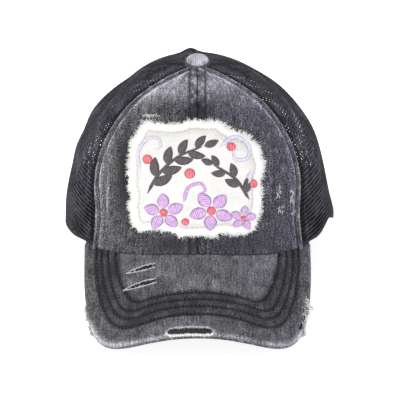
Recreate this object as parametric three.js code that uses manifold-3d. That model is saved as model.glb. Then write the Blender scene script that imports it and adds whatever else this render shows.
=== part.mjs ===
// A ponytail baseball cap at rest on a level surface: a washed cotton front with a frayed patch, a mesh back
// with an arched ponytail opening and a closure strap, and a bent peak. Units are millimetres. Every piece of
// the crown is cut from one surface, crownPoint, at its own distance in or out from that surface. The crown
// is worked out in a frame of its own: +Z up from the plane of the rim, the front towards -Y. A nested group
// then tips it back until the peak's corners and the back of the rim both stand on the surface at Z = 0.
import * as THREE from "three";
import { mergeVertices } from "three/addons/utils/BufferGeometryUtils.js";
import Module from "manifold-3d";

// Crown
const RIM_HALF_WIDTH = 101;
const RIM_FRONT_REACH = 100;
const RIM_BACK_REACH = 82;
const RIM_SQUARENESS = 2.2;
const CROWN_HEIGHT = 121;
const APEX_FORWARD = 8;
const COTTON_WALL = 1.5;
const MESH_WALL = 1.1;
const SEAM_GAP = 0.4;
const LAYER_GAP = 0.4;
const TOP_HOLE_RADIUS = 4;
const REAR_RIM_PRESS = 4;
const SIDE_SEAM_AZIMUTH = 112;

// Peak
const PEAK_LENGTH = 67.6;
const PEAK_HALF_WIDTH = 83;
const PEAK_PITCH = 40;
const PEAK_ROOT_DROP = 25.5;
const PEAK_FRONT_DROP = 42;
const PEAK_DROP_ONSET = 20;
const PEAK_DROP_SHARPNESS = 2.6;
const PEAK_ROOT_AZIMUTH = 53;
const RIM_EASE_ANGLE = 23;
const PEAK_SQUARENESS = 3.8;
const BOARD_THICKNESS = 1.6;
const COVER_THICKNESS = 0.9;
const PEAK_LAYER_GAP = 0.3;

// Trim
const WELT_WIDTH = 3;
const WELT_THICKNESS = 0.9;
const TAPE_WIDTH = 9;
const TAPE_THICKNESS = 0.7;
const SWEATBAND_HEIGHT = 31;
const SWEATBAND_THICKNESS = 1.6;
const BUTTON_RADIUS = 9;
const BUTTON_HEIGHT = 5;
const BUTTON_EDGE = 0.6;
const BUTTON_HOLLOW = 0.8;

// Patch on the front
const PATCH_WIDTH = 92;
const PATCH_HEIGHT = 83;
const PATCH_CENTRE_ACROSS = -0.7;
const PATCH_CENTRE_ABOVE_RIM = 56.5;
const PATCH_THICKNESS = 1.2;
const PATCH_GAP = 0.6;

// Ponytail opening and closure strap
const OPENING_WIDTH = 68;
const OPENING_TOP_ABOVE_RIM = 92;
const BINDING_WIDTH = 7;
const BINDING_THICKNESS = 2.4;
const STRAP_HEIGHT = 24;
const STRAP_THICKNESS = 1.2;
const STRAP_OVERLAP = 30;
const STRAP_SEWN_LENGTH = 12;
const STRAP_CLIMB_LENGTH = 8;

// Meridians of the crown from the rim to the apex, in equal steps. out is a share of the rim's reach, up a
// share of the crown's height, and seam the azimuth of the seam between the cotton front and the mesh.
const MERIDIANS = [
  { frontOut: 1.0, frontUp: 0.0, sideOut: 1.0, sideUp: 0.0, backOut: 1.0, backUp: 0.0, seam: 46.8 },
  { frontOut: 1.0, frontUp: 0.225, sideOut: 0.985, sideUp: 0.19, backOut: 1.015, backUp: 0.21, seam: 45.3 },
  { frontOut: 0.96, frontUp: 0.46, sideOut: 0.92, sideUp: 0.41, backOut: 0.985, backUp: 0.435, seam: 48.9 },
  { frontOut: 0.85, frontUp: 0.68, sideOut: 0.81, sideUp: 0.625, backOut: 0.885, backUp: 0.67, seam: 48.6 },
  { frontOut: 0.64, frontUp: 0.86, sideOut: 0.63, sideUp: 0.82, backOut: 0.705, backUp: 0.89, seam: 45 },
  { frontOut: 0.34, frontUp: 0.955, sideOut: 0.36, sideUp: 0.955, backOut: 0.4, backUp: 1.02, seam: 38.5 },
  { frontOut: 0.0, frontUp: 1.0, sideOut: 0.0, sideUp: 1.0, backOut: 0.0, backUp: 1.0, seam: 32 },
];

// Soft folds and bulges of the mesh. rise is a share of the rim's half width; the spreads are a bulge's half
// sizes.
const FOLDS = [
  { azimuth: -100, share: 0.7, azimuthSpread: 35, shareSpread: 0.06, rise: -0.03 },
  { azimuth: -100, share: 0.54, azimuthSpread: 30, shareSpread: 0.07, rise: 0.022 },
  { azimuth: -96, share: 0.37, azimuthSpread: 30, shareSpread: 0.06, rise: 0.014 },
  { azimuth: -140, share: 0.84, azimuthSpread: 26, shareSpread: 0.06, rise: 0.03 },
  { azimuth: 95, share: 0.03, azimuthSpread: 34, shareSpread: 0.09, rise: 0.034 },
  { azimuth: 100, share: 0.76, azimuthSpread: 35, shareSpread: 0.06, rise: -0.022 },
  { azimuth: 102, share: 0.45, azimuthSpread: 34, shareSpread: 0.16, rise: 0.027 },
];

// Waves in the free part of the rim; rise and spread are millimetres and degrees.
const RIM_WAVES = [
  { azimuth: 70, spread: 12, rise: 10 },
  { azimuth: -60, spread: 7, rise: -1.5 },
];

// The patch's torn outline, anticlockwise from its right-hand side as seen from the front, as shares of its
// width and height from its centre.
const PATCH_EDGE = [
  { x: 0.498, y: 0.11 },
  { x: 0.457, y: 0.255 },
  { x: 0.365, y: 0.381 },
  { x: 0.239, y: 0.419 },
  { x: 0.161, y: 0.502 },
  { x: 0.047, y: 0.501 },
  { x: -0.067, y: 0.502 },
  { x: -0.116, y: 0.473 },
  { x: -0.188, y: 0.475 },
  { x: -0.352, y: 0.495 },
  { x: -0.41, y: 0.451 },
  { x: -0.487, y: 0.295 },
  { x: -0.491, y: 0.127 },
  { x: -0.5, y: -0.075 },
  { x: -0.471, y: -0.148 },
  { x: -0.498, y: -0.242 },
  { x: -0.477, y: -0.352 },
  { x: -0.413, y: -0.448 },
  { x: -0.273, y: -0.445 },
  { x: -0.159, y: -0.46 },
  { x: -0.11, y: -0.501 },
  { x: 0.125, y: -0.501 },
  { x: 0.167, y: -0.465 },
  { x: 0.332, y: -0.478 },
  { x: 0.413, y: -0.443 },
  { x: 0.466, y: -0.265 },
  { x: 0.467, y: -0.039 },
];

// Worn places cut through the peak's upper cover. x is across and s forward, as shares of the peak's half
// width and length; long and wide are millimetres and turn is degrees.
const PEAK_TEARS = [
  { x: -0.484, s: 0.088, long: 20, wide: 3.6, turn: 7 },
  { x: -0.493, s: 0.279, long: 22, wide: 3.8, turn: 6 },
  { x: -0.064, s: 0.918, long: 34, wide: 4.2, turn: -1 },
];

// How finely the cloth is faceted. The strips along the crown's seams start and end on its rows.
const ROWS_UP = 14;
const TAPE_FIRST_ROW = 4;
const OPENING_FIRST_ROW = 9;
const TAPE_LAST_ROW = 12;
const WELT_LAST_ROW = 12;
const PEAK_COLUMNS = 26;
const COVER_FLAT_ROWS = 5;
const COVER_TURN_ROWS = 3;
const MERIDIAN_STEPS = 48;

const DEGREE = Math.PI / 180;
const PEAK_HALF_THICKNESS = BOARD_THICKNESS / 2 + PEAK_LAYER_GAP + COVER_THICKNESS;
const PEAK_SEAT = PEAK_HALF_THICKNESS + LAYER_GAP;
const PITCH_SINE = Math.sin(PEAK_PITCH * DEGREE);
const PITCH_COSINE = Math.cos(PEAK_PITCH * DEGREE);

const wasm = await Module();
wasm.setup();

const mix = (from, to, share) => from + (to - from) * share;

function smoothStep(from, to, value) {
  const share = Math.min(1, Math.max(0, (value - from) / (to - from)));
  return share * share * (3 - 2 * share);
}

// The larger of two numbers, with the corner between them rounded over a band of the given width.
function smoothMax(a, b, band) {
  const near = Math.max(0, band - Math.abs(a - b)) / band;
  return Math.max(a, b) + (near * near * band) / 4;
}

// A smooth curve through equally spaced values, at a share from 0 to 1 of its length.
function spline(values, share) {
  const last = values.length - 1;
  const place = Math.min(1, Math.max(0, share)) * last;
  const i = Math.min(last - 1, Math.floor(place));
  const f = place - i;
  const before = i > 0 ? values[i - 1] : 2 * values[0] - values[1];
  const after = i + 2 <= last ? values[i + 2] : 2 * values[last] - values[last - 1];
  const [start, end] = [values[i], values[i + 1]];
  const bend = 2 * before - 5 * start + 4 * end - after;
  const twist = 3 * (start - end) + after - before;
  return start + 0.5 * f * (end - before + f * (bend + f * twist));
}

// The value between low and high where a rising function reaches a target.
function solve(rising, target, low, high) {
  for (let i = 0; i < 40; i++) {
    const middle = (low + high) / 2;
    if (rising(middle) < target) low = middle;
    else high = middle;
  }
  return (low + high) / 2;
}

const column = Object.fromEntries(
  Object.keys(MERIDIANS[0]).map((name) => [name, MERIDIANS.map((row) => row[name])]),
);

// Plan of the rim at an azimuth in degrees, 0 at the front and positive towards +X, moved outwards by offset.
function rimPlan(azimuth, offset) {
  const [sine, cosine] = [Math.sin(azimuth * DEGREE), Math.cos(azimuth * DEGREE)];
  const reach = (cosine > 0 ? RIM_FRONT_REACH : RIM_BACK_REACH) + offset;
  const across = Math.abs(sine / (RIM_HALF_WIDTH + offset)) ** RIM_SQUARENESS;
  const radius = (across + Math.abs(cosine / reach) ** RIM_SQUARENESS) ** (-1 / RIM_SQUARENESS);
  return [radius * sine, -radius * cosine];
}

// The peak is a sheet pitched forward and down from the front of the rim. A point on it is x across and s
// forward. Its sides hang below its middle, by PEAK_ROOT_DROP at the root in a plain arch, and by
// PEAK_FRONT_DROP more at the front, where the middle is flatter and the sides steeper.
function peakDrop(x, s) {
  const forward = Math.max(0, s) / PEAK_LENGTH;
  const gain = (forward * forward * (PEAK_LENGTH + PEAK_DROP_ONSET)) / (Math.max(0, s) + PEAK_DROP_ONSET);
  const across = Math.abs(x) / PEAK_HALF_WIDTH;
  return PEAK_ROOT_DROP * across ** 2 + PEAK_FRONT_DROP * gain * across ** PEAK_DROP_SHARPNESS;
}

function sheetPoint(x, s) {
  const drop = peakDrop(x, s);
  return new THREE.Vector3(
    x,
    -RIM_FRONT_REACH - s * PITCH_COSINE + drop * PITCH_SINE,
    -PEAK_SEAT / PITCH_COSINE - s * PITCH_SINE - drop * PITCH_COSINE,
  );
}

function sheetNormal(x, s) {
  const step = 0.01;
  const here = sheetPoint(x, s);
  const across = sheetPoint(x + step, s).sub(here);
  const forward = sheetPoint(x, s + step).sub(here);
  return forward.cross(across).normalize();
}

// How far forward on the sheet a point of the crown's plan lies. The crown stands behind the start of the
// gain.
const sheetForward = (x, y) => (peakDrop(x, 0) * PITCH_SINE - (y + RIM_FRONT_REACH)) / PITCH_COSINE;

// Height over a point of the plan at which a crown piece sits on the peak.
function seatHeight(x, y) {
  const s = sheetForward(x, y);
  return sheetPoint(x, s).z + PEAK_SEAT / sheetNormal(x, s).z;
}

// The peak's outline in x and s at a share from -1 to 1 of its way round, and its root under the crown's
// wall.
const [ROOT_END_X, ROOT_END_Y] = rimPlan(PEAK_ROOT_AZIMUTH, -COTTON_WALL);
const ROOT_END_FORWARD = sheetForward(ROOT_END_X, ROOT_END_Y);
const PEAK_SIDE_TURN = 88 * DEGREE;

function peakEdge(share) {
  const turn = share * PEAK_SIDE_TURN;
  const [sine, cosine] = [Math.sin(turn), Math.cos(turn)];
  const reach = (Math.abs(sine) ** PEAK_SQUARENESS + cosine ** PEAK_SQUARENESS) ** (-1 / PEAK_SQUARENESS);
  const length = PEAK_LENGTH - ROOT_END_FORWARD;
  return new THREE.Vector2(PEAK_HALF_WIDTH * reach * sine, ROOT_END_FORWARD + length * reach * cosine);
}

function peakRoot(share) {
  const [x, y] = rimPlan(share * PEAK_ROOT_AZIMUTH, -COTTON_WALL);
  return new THREE.Vector2(x, sheetForward(x, y));
}

// A layer of the peak. For a place from 0 at the root to 1 at the edge, section gives how far inside the
// outline a point lies, as a share of the way to the root, and its height above the middle sheet.
function peakLayer(rows, section) {
  return slab(PEAK_COLUMNS, rows, (i, j, face) => {
    const share = mix(1, -1, i);
    const [edge, root] = [peakEdge(share), peakRoot(share)];
    const { inward, height } = section(j, face, edge.distanceTo(root));
    const at = edge.clone().lerp(root, inward);
    return sheetPoint(at.x, at.y).addScaledVector(sheetNormal(at.x, at.y), height);
  });
}

// A cover lies flat from the root and turns a quarter circle down over the board's edge. side is 1 above the
// board and -1 below it.
function peakCover(side) {
  const rows = COVER_FLAT_ROWS + COVER_TURN_ROWS;
  return peakLayer(rows, (place, face, length) => {
    const outside = side > 0 ? face === 1 : face === 0;
    const radius = PEAK_HALF_THICKNESS - (outside ? 0 : COVER_THICKNESS);
    const row = Math.round(place * rows);
    if (row <= COVER_FLAT_ROWS) {
      const flat = mix(1, PEAK_HALF_THICKNESS / length, row / COVER_FLAT_ROWS);
      return { inward: flat, height: side * radius };
    }
    const lowest = Math.asin(PEAK_LAYER_GAP / 2 / radius);
    const turn = mix(Math.PI / 2, lowest, (row - COVER_FLAT_ROWS) / COVER_TURN_ROWS);
    const inward = (PEAK_HALF_THICKNESS - radius * Math.cos(turn)) / length;
    return { inward, height: side * radius * Math.sin(turn) };
  });
}

function peakBoard() {
  return peakLayer(COVER_FLAT_ROWS, (place, face, length) => ({
    inward: mix(1, PEAK_HALF_THICKNESS / length, place),
    height: (face - 0.5) * BOARD_THICKNESS,
  }));
}

// The surface that the cap stands on, seen from the crown, passes through the pressed back of the rim and
// just touches the peak. STANCE is its slope.
function stance() {
  const under = peakCover(-1).attributes.position;
  const slopes = [];
  for (let i = 0; i < under.count; i++)
    slopes.push((REAR_RIM_PRESS - under.getZ(i)) / (RIM_BACK_REACH - under.getY(i)));
  return Math.max(...slopes);
}

const STANCE = stance();
const groundHeight = (y) => REAR_RIM_PRESS + (y - RIM_BACK_REACH) * STANCE;

// The rim follows the peak's root at the front, and eases from its ends to the flat rim behind them.
function rimHeight(azimuth, offset) {
  const onPeak = 1 - smoothStep(PEAK_ROOT_AZIMUTH, PEAK_ROOT_AZIMUTH + RIM_EASE_ANGLE, Math.abs(azimuth));
  const waves = RIM_WAVES.reduce((sum, wave) => {
    const away = (azimuth - wave.azimuth) / wave.spread;
    return sum + wave.rise * Math.exp(-away * away);
  }, 0);
  const free = waves + smoothMax(0, groundHeight(rimPlan(azimuth, offset)[1]), REAR_RIM_PRESS / 3);
  if (onPeak === 0) return free;
  const seated = Math.sign(azimuth) * Math.min(Math.abs(azimuth), PEAK_ROOT_AZIMUTH + 1);
  return mix(free, seatHeight(...rimPlan(seated, offset)), onPeak);
}

function wrapAzimuth(azimuth) {
  return azimuth > 180 ? azimuth - 360 : azimuth < -180 ? azimuth + 360 : azimuth;
}

function foldRise(azimuth, share) {
  return FOLDS.reduce((sum, fold) => {
    const across = wrapAzimuth(azimuth - fold.azimuth) / fold.azimuthSpread;
    const up = (share - fold.share) / fold.shareSpread;
    return sum + fold.rise * Math.exp(-across * across - up * up);
  }, 0);
}

// A point of the crown at an azimuth and a share of the way from the rim to the apex, offset outwards.
function crownPoint(azimuth, share, offset = 0) {
  const turned = wrapAzimuth(azimuth);
  const cosine = Math.cos(turned * DEGREE);
  const front = Math.max(0, cosine) ** 1.5;
  const back = Math.max(0, -cosine) ** 1.5;
  const side = 1 - front - back;
  const blend = (name) =>
    front * spline(column["front" + name], share) +
    side * spline(column["side" + name], share) +
    back * spline(column["back" + name], share);
  const out = blend("Out") + foldRise(turned, share);
  const [x, y] = rimPlan(turned, offset);
  const low = (1 - share) ** 2;
  const z = (CROWN_HEIGHT + offset) * blend("Up") + rimHeight(turned, offset) * low;
  return new THREE.Vector3(x * out, y * out - APEX_FORWARD * (1 - blend("Out")), z);
}

const radiusAt = (azimuth, share) => {
  const point = crownPoint(azimuth, share);
  const apex = crownPoint(azimuth, 1);
  return Math.hypot(point.x - apex.x, point.y - apex.y);
};

// The share at which a meridian comes within a radius of the apex.
const shareAtRadius = (azimuth, radius) => solve((share) => -radiusAt(azimuth, share), -radius, 0.5, 1);

// The length of a meridian up to a share, and the share at a length.
const meridianTables = new Map();

function meridianTable(azimuth) {
  if (!meridianTables.has(azimuth)) {
    const lengths = [0];
    for (let i = 1; i <= MERIDIAN_STEPS; i++) {
      const from = crownPoint(azimuth, (i - 1) / MERIDIAN_STEPS);
      lengths.push(lengths[i - 1] + from.distanceTo(crownPoint(azimuth, i / MERIDIAN_STEPS)));
    }
    meridianTables.set(azimuth, lengths);
  }
  return meridianTables.get(azimuth);
}

function shareAtLength(azimuth, length) {
  const lengths = meridianTable(azimuth);
  if (length <= 0) return 0;
  const i = Math.min(MERIDIAN_STEPS, lengths.findIndex((l) => l >= length));
  if (i < 1) return 1;
  return (i - 1 + (length - lengths[i - 1]) / (lengths[i] - lengths[i - 1])) / MERIDIAN_STEPS;
}

// A point laid out on the crown like cloth: millimetres across from a middle meridian and above the rim along
// it.
function clothPoint(azimuth, across, above, offset) {
  const share = shareAtLength(azimuth, above);
  return crownPoint(azimuth + across / radiusAt(azimuth, share) / DEGREE, share, offset);
}

// A closed solid between two surfaces over a grid of columns by rows. place(column, row, face) gives a point,
// with the column and row as shares from 0 to 1 and the face 0 inside and 1 outside.
function slab(columns, rows, place) {
  const positions = [];
  const index = (i, j, face) => (face * (rows + 1) + j) * (columns + 1) + i;
  for (const face of [0, 1])
    for (let j = 0; j <= rows; j++)
      for (let i = 0; i <= columns; i++) positions.push(...place(i / columns, j / rows, face));
  const triangles = [];
  const quad = (a, b, c, d) => triangles.push(a, b, c, a, c, d);
  for (let j = 0; j < rows; j++)
    for (let i = 0; i < columns; i++) {
      quad(index(i, j, 1), index(i + 1, j, 1), index(i + 1, j + 1, 1), index(i, j + 1, 1));
      quad(index(i, j, 0), index(i, j + 1, 0), index(i + 1, j + 1, 0), index(i + 1, j, 0));
    }
  for (let i = 0; i < columns; i++) {
    quad(index(i, 0, 0), index(i + 1, 0, 0), index(i + 1, 0, 1), index(i, 0, 1));
    quad(index(i, rows, 1), index(i + 1, rows, 1), index(i + 1, rows, 0), index(i, rows, 0));
  }
  for (let j = 0; j < rows; j++) {
    quad(index(0, j, 1), index(0, j + 1, 1), index(0, j + 1, 0), index(0, j, 0));
    quad(index(columns, j, 0), index(columns, j + 1, 0), index(columns, j + 1, 1), index(columns, j, 1));
  }
  return new THREE.BufferGeometry()
    .setAttribute("position", new THREE.Float32BufferAttribute(positions, 3))
    .setIndex(triangles);
}

// The same solid, but with its last column joined to its first and its first row shrunk to one point on each
// face.
function roundSlab(turns, rings, place) {
  const positions = [];
  const ringStart = (face) => face * (1 + turns * rings);
  for (const face of [0, 1]) {
    positions.push(...place(0, 0, face));
    for (let j = 1; j <= rings; j++)
      for (let i = 0; i < turns; i++) positions.push(...place(i / turns, j / rings, face));
  }
  const index = (i, j, face) => ringStart(face) + (j === 0 ? 0 : 1 + (j - 1) * turns + (i % turns));
  const triangles = [];
  for (const face of [0, 1])
    for (let j = 0; j < rings; j++)
      for (let i = 0; i < turns; i++) {
        const [a, b] = [index(i, j, face), index(i + 1, j, face)];
        const [c, d] = [index(i + 1, j + 1, face), index(i, j + 1, face)];
        const corners = j === 0 ? [a, c, d] : [a, b, c, a, c, d];
        triangles.push(...(face ? corners.reverse() : corners));
      }
  for (let i = 0; i < turns; i++) {
    const [a, b] = [index(i, rings, 0), index(i + 1, rings, 0)];
    const [c, d] = [index(i + 1, rings, 1), index(i, rings, 1)];
    triangles.push(a, b, c, a, c, d);
  }
  return new THREE.BufferGeometry()
    .setAttribute("position", new THREE.Float32BufferAttribute(positions, 3))
    .setIndex(triangles);
}

function toSolid(geometry) {
  const bare = geometry.clone();
  bare.deleteAttribute("normal");
  bare.deleteAttribute("uv");
  const merged = mergeVertices(bare);
  return new wasm.Manifold(
    new wasm.Mesh({
      numProp: 3,
      vertProperties: merged.attributes.position.array,
      triVerts: new Uint32Array(merged.index.array),
    }),
  );
}

function toGeometry(solid) {
  const mesh = solid.getMesh();
  return new THREE.BufferGeometry()
    .setAttribute("position", new THREE.Float32BufferAttribute(mesh.vertProperties, 3))
    .setIndex([...mesh.triVerts]);
}

const cut = (geometry, cutters) =>
  toGeometry(cutters.reduce((solid, cutter) => solid.subtract(toSolid(cutter)), toSolid(geometry)));

// Materials
const cloth = (color, roughness = 0.95) => new THREE.MeshStandardMaterial({ color, roughness, metalness: 0 });
const washedCotton = cloth(0x55555b);
const blackMesh = cloth(0x26262a, 0.8);
const blackTape = cloth(0x1f1f23);
const bareCanvas = cloth(0xf3f1ea);
const wornCotton = cloth(0xb4b6bb);
const darkBoard = cloth(0x18181c, 0.7);

const cap = new THREE.Group();

function add(name, geometry, material) {
  const mesh = new THREE.Mesh(geometry, material);
  mesh.name = name;
  cap.add(mesh);
}

const seamAzimuth = (share) => spline(column.seam, share);

// The angle that a length along the crown's wall takes at a meridian and share.
function lengthAngle(length, azimuth, share) {
  return length / Math.max(radiusAt(azimuth, share), TOP_HOLE_RADIUS) / DEGREE;
}

// The pieces of the crown share one set of rows, so that their facets run alongside each other. rowShare
// gives the share of a row.
const TOP_SHARE = shareAtRadius(80, TOP_HOLE_RADIUS);
const rowShare = (row) => (row / ROWS_UP) * TOP_SHARE;

// One panel of the crown on one side, -1 the wearer's right and 1 the wearer's left, between two seams given
// as functions of the share, kept half a seam gap clear of each.
function panel(side, from, to, wall, columns) {
  return slab(columns, ROWS_UP, (i, j, face) => {
    const share = j * TOP_SHARE;
    const low = from(share) + lengthAngle(SEAM_GAP / 2, side * from(share), share);
    const high = to(share) - lengthAngle(SEAM_GAP / 2, side * to(share), share);
    const azimuth = side > 0 ? mix(low, high, i) : -mix(high, low, i);
    return crownPoint(azimuth, share, face ? 0 : -wall);
  });
}

// A strip of constant width along a seam, from one row to another.
function seamStrip(seam, width, inner, outer, firstRow, lastRow) {
  return slab(2, lastRow - firstRow, (i, j, face) => {
    const share = rowShare(mix(firstRow, lastRow, j));
    const middle = seam(share);
    const azimuth = middle + (i - 0.5) * lengthAngle(width, middle, share);
    return crownPoint(azimuth, share, face ? outer : inner);
  });
}

// The arch of the ponytail opening, as cloth laid out about the back meridian. narrower draws it in on all
// sides. way runs from 0 at the foot of one leg over the top to 1 at the foot of the other.
const LEG_SHARE = 0.25;

function archPoint(way, narrower) {
  const half = OPENING_WIDTH / 2 - narrower;
  const spring = OPENING_TOP_ABOVE_RIM - OPENING_WIDTH / 2;
  if (way < LEG_SHARE) return [-half, mix(0, spring, way / LEG_SHARE)];
  if (way > 1 - LEG_SHARE) return [half, mix(0, spring, (1 - way) / LEG_SHARE)];
  const turn = Math.PI * (1 - (way - LEG_SHARE) / (1 - 2 * LEG_SHARE));
  return [half * Math.cos(turn), spring + half * Math.sin(turn)];
}

// A block through the mesh in the shape of the opening, from below the rim to a narrow flat at the top of the
// arch.
function openingCutter() {
  const [depth, belowRim, topWay] = [12, 18, 0.485];
  return slab(8, 24, (i, j, face) => {
    const [across, above] = archPoint(j * topWay, 0);
    const point = clothPoint(180, mix(across, -across, i), above, face ? depth : -depth);
    if (j === 0) point.z -= belowRim;
    return point;
  });
}

function openingBinding() {
  const ways = 32;
  return slab(ways, 2, (i, j, face) => {
    const [across, above] = archPoint(i, mix(BINDING_WIDTH, SEAM_GAP, j));
    const outer = (BINDING_THICKNESS - MESH_WALL) / 2;
    return clothPoint(180, across, above, face ? outer : outer - BINDING_THICKNESS);
  });
}

// The closure's two straps cross behind the opening. Each is sewn outside the mesh beside the opening and
// reaches past the middle; the outer one climbs over the inner one.
function closureStrap(side, climbs) {
  const sewnEnd = OPENING_WIDTH / 2 + STRAP_SEWN_LENGTH;
  const bindingFace = (BINDING_THICKNESS - MESH_WALL) / 2;
  const climbEnd = STRAP_OVERLAP / 2 + STRAP_THICKNESS;
  return slab(16, 3, (i, j, face) => {
    const across = mix(-STRAP_OVERLAP / 2, sewnEnd, side > 0 ? i : 1 - i);
    const climb = climbs ? 1 - smoothStep(climbEnd, climbEnd + STRAP_CLIMB_LENGTH, across) : 0;
    const seat = bindingFace + LAYER_GAP + climb * (STRAP_THICKNESS + LAYER_GAP);
    return clothPoint(180, side * across, j * STRAP_HEIGHT, seat + (face ? STRAP_THICKNESS : 0));
  });
}

function crownPieces() {
  const tapeOuter = -COTTON_WALL - LAYER_GAP;
  const tape = (seam, firstRow) =>
    seamStrip(seam, TAPE_WIDTH, tapeOuter - TAPE_THICKNESS, tapeOuter, firstRow, TAPE_LAST_ROW);
  const sideEdge = () => SIDE_SEAM_AZIMUTH;
  for (const [side, name] of [
    [-1, "right"],
    [1, "left"],
  ]) {
    const frontSeam = (share) => side * seamAzimuth(share);
    const backPanel = panel(side, sideEdge, () => 180, MESH_WALL, 9);
    add("front_panel_" + name, panel(side, () => 0, seamAzimuth, COTTON_WALL, 8), washedCotton);
    add("side_mesh_" + name, panel(side, seamAzimuth, sideEdge, MESH_WALL, 9), blackMesh);
    add("back_mesh_" + name, cut(backPanel, [openingCutter()]), blackMesh);
    const weltTop = LAYER_GAP + WELT_THICKNESS;
    add(
      "front_seam_welt_" + name,
      seamStrip(frontSeam, WELT_WIDTH, LAYER_GAP, weltTop, 0, WELT_LAST_ROW),
      washedCotton,
    );
    add("front_seam_tape_" + name, tape(frontSeam, TAPE_FIRST_ROW), blackTape);
    add("side_seam_tape_" + name, tape(() => side * SIDE_SEAM_AZIMUTH, TAPE_FIRST_ROW), blackTape);
  }
  add("centre_seam_tape", tape(() => 0, TAPE_FIRST_ROW), blackTape);
  add("back_seam_tape", tape(() => 180, OPENING_FIRST_ROW), blackTape);
}

// The sweatband runs round the inside of the rim from one side of the ponytail opening to the other.
function sweatband() {
  const outer = -COTTON_WALL - LAYER_GAP;
  return slab(44, 3, (i, j, face) => {
    const share = j * shareAtLength(90, SWEATBAND_HEIGHT);
    const end = 180 - lengthAngle(OPENING_WIDTH / 2, 180, share);
    return crownPoint(mix(-end, end, i), share, face ? outer : outer - SWEATBAND_THICKNESS);
  });
}

// The cloth-covered button sits on the apex, square to the crown around it.
function topButton() {
  const ring = [];
  for (let azimuth = 0; azimuth < 360; azimuth += 15)
    for (const radius of [TOP_HOLE_RADIUS, (TOP_HOLE_RADIUS + BUTTON_RADIUS) / 2, BUTTON_RADIUS])
      ring.push(crownPoint(azimuth, shareAtRadius(wrapAzimuth(azimuth), radius)));
  const apex = crownPoint(0, 1);
  const rim = (azimuth) => crownPoint(azimuth, shareAtRadius(azimuth, BUTTON_RADIUS));
  const up = rim(90).sub(rim(-90)).cross(rim(180).sub(rim(0))).normalize();
  const underside = (radius) => BUTTON_HOLLOW * (1 - radius / BUTTON_RADIUS);
  const heights = ring.map((point) => {
    const arm = point.clone().sub(apex);
    const height = arm.dot(up);
    return height - underside(arm.addScaledVector(up, -height).length());
  });
  const seat = Math.max(...heights) + LAYER_GAP;
  const profile = [new THREE.Vector2(0, BUTTON_HOLLOW), new THREE.Vector2(BUTTON_RADIUS, 0)];
  const domeSteps = 6;
  const bulge = 1.04;
  for (let i = 0; i <= domeSteps; i++) {
    const turn = (i / domeSteps) * (Math.PI / 2);
    const radius = i === domeSteps ? 0 : BUTTON_RADIUS * bulge * Math.cos(turn) ** 0.8;
    profile.push(new THREE.Vector2(radius, mix(BUTTON_EDGE, BUTTON_HEIGHT, Math.sin(turn))));
  }
  const geometry = new THREE.LatheGeometry(profile, 24);
  geometry.rotateX(Math.PI / 2);
  const turn = new THREE.Quaternion().setFromUnitVectors(new THREE.Vector3(0, 0, 1), up);
  geometry.applyQuaternion(turn);
  const place = apex.clone().addScaledVector(up, seat);
  return geometry.translate(place.x, place.y, place.z);
}

function frontPatch() {
  const corners = PATCH_EDGE.length;
  return roundSlab(corners * 2, 6, (i, j, face) => {
    const place = Math.round(i * corners * 2) / 2;
    const from = PATCH_EDGE[Math.floor(place) % corners];
    const to = PATCH_EDGE[Math.ceil(place) % corners];
    const across = PATCH_CENTRE_ACROSS + mix(from.x, to.x, 0.5) * PATCH_WIDTH * j;
    const above = PATCH_CENTRE_ABOVE_RIM + mix(from.y, to.y, 0.5) * PATCH_HEIGHT * j;
    return clothPoint(0, across, above, PATCH_GAP + (face ? PATCH_THICKNESS : 0));
  });
}

// A block through the upper cover in the shape of a tear: widest in the middle, and narrow but blunt at its
// ends.
function tearCutter(tear) {
  const [sine, cosine] = [Math.sin(tear.turn * DEGREE), Math.cos(tear.turn * DEGREE)];
  const [low, high] = [0, 2 * PEAK_HALF_THICKNESS];
  const [narrowest, fullness] = [0.08, 0.6];
  return slab(10, 1, (i, j, face) => {
    const along = mix(-0.5, 0.5, i) * tear.long;
    const half = (tear.wide / 2) * Math.max(narrowest, 1 - (2 * i - 1) ** 2) ** fullness;
    const across = mix(half, -half, j);
    const x = tear.x * PEAK_HALF_WIDTH + along * cosine + across * sine;
    const s = tear.s * PEAK_LENGTH - along * sine + across * cosine;
    return sheetPoint(x, s).addScaledVector(sheetNormal(x, s), face ? high : low);
  });
}

crownPieces();
add("sweatband", sweatband(), blackTape);
add("top_button", topButton(), wornCotton);
add("front_patch", frontPatch(), bareCanvas);
add("opening_binding", openingBinding(), blackTape);
add("closure_strap_inner", closureStrap(1, false), blackTape);
add("closure_strap_outer", closureStrap(-1, true), blackTape);
add("peak_top_cover", cut(peakCover(1), PEAK_TEARS.map(tearCutter)), washedCotton);
add("peak_board", peakBoard(), darkBoard);
add("peak_under_cover", peakCover(-1), washedCotton);

// Tip the cap back onto its surface, and put the origin under the middle of its outline.
cap.rotation.x = -Math.atan(STANCE);
cap.updateMatrixWorld(true);
const stood = new THREE.Group();
stood.add(cap);
const bounds = new THREE.Box3().setFromObject(stood, true);
const middle = bounds.getCenter(new THREE.Vector3());
stood.position.set(-middle.x, -middle.y, -bounds.min.z);

export default stood;
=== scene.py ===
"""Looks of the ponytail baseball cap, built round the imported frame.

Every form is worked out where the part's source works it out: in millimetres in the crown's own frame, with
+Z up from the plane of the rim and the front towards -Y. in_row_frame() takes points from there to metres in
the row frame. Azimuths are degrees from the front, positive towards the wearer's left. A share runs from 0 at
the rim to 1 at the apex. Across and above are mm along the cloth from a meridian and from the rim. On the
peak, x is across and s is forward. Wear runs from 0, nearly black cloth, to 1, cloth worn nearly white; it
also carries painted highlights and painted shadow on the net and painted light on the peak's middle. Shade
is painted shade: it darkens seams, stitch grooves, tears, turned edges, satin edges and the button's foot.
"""
import math

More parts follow.
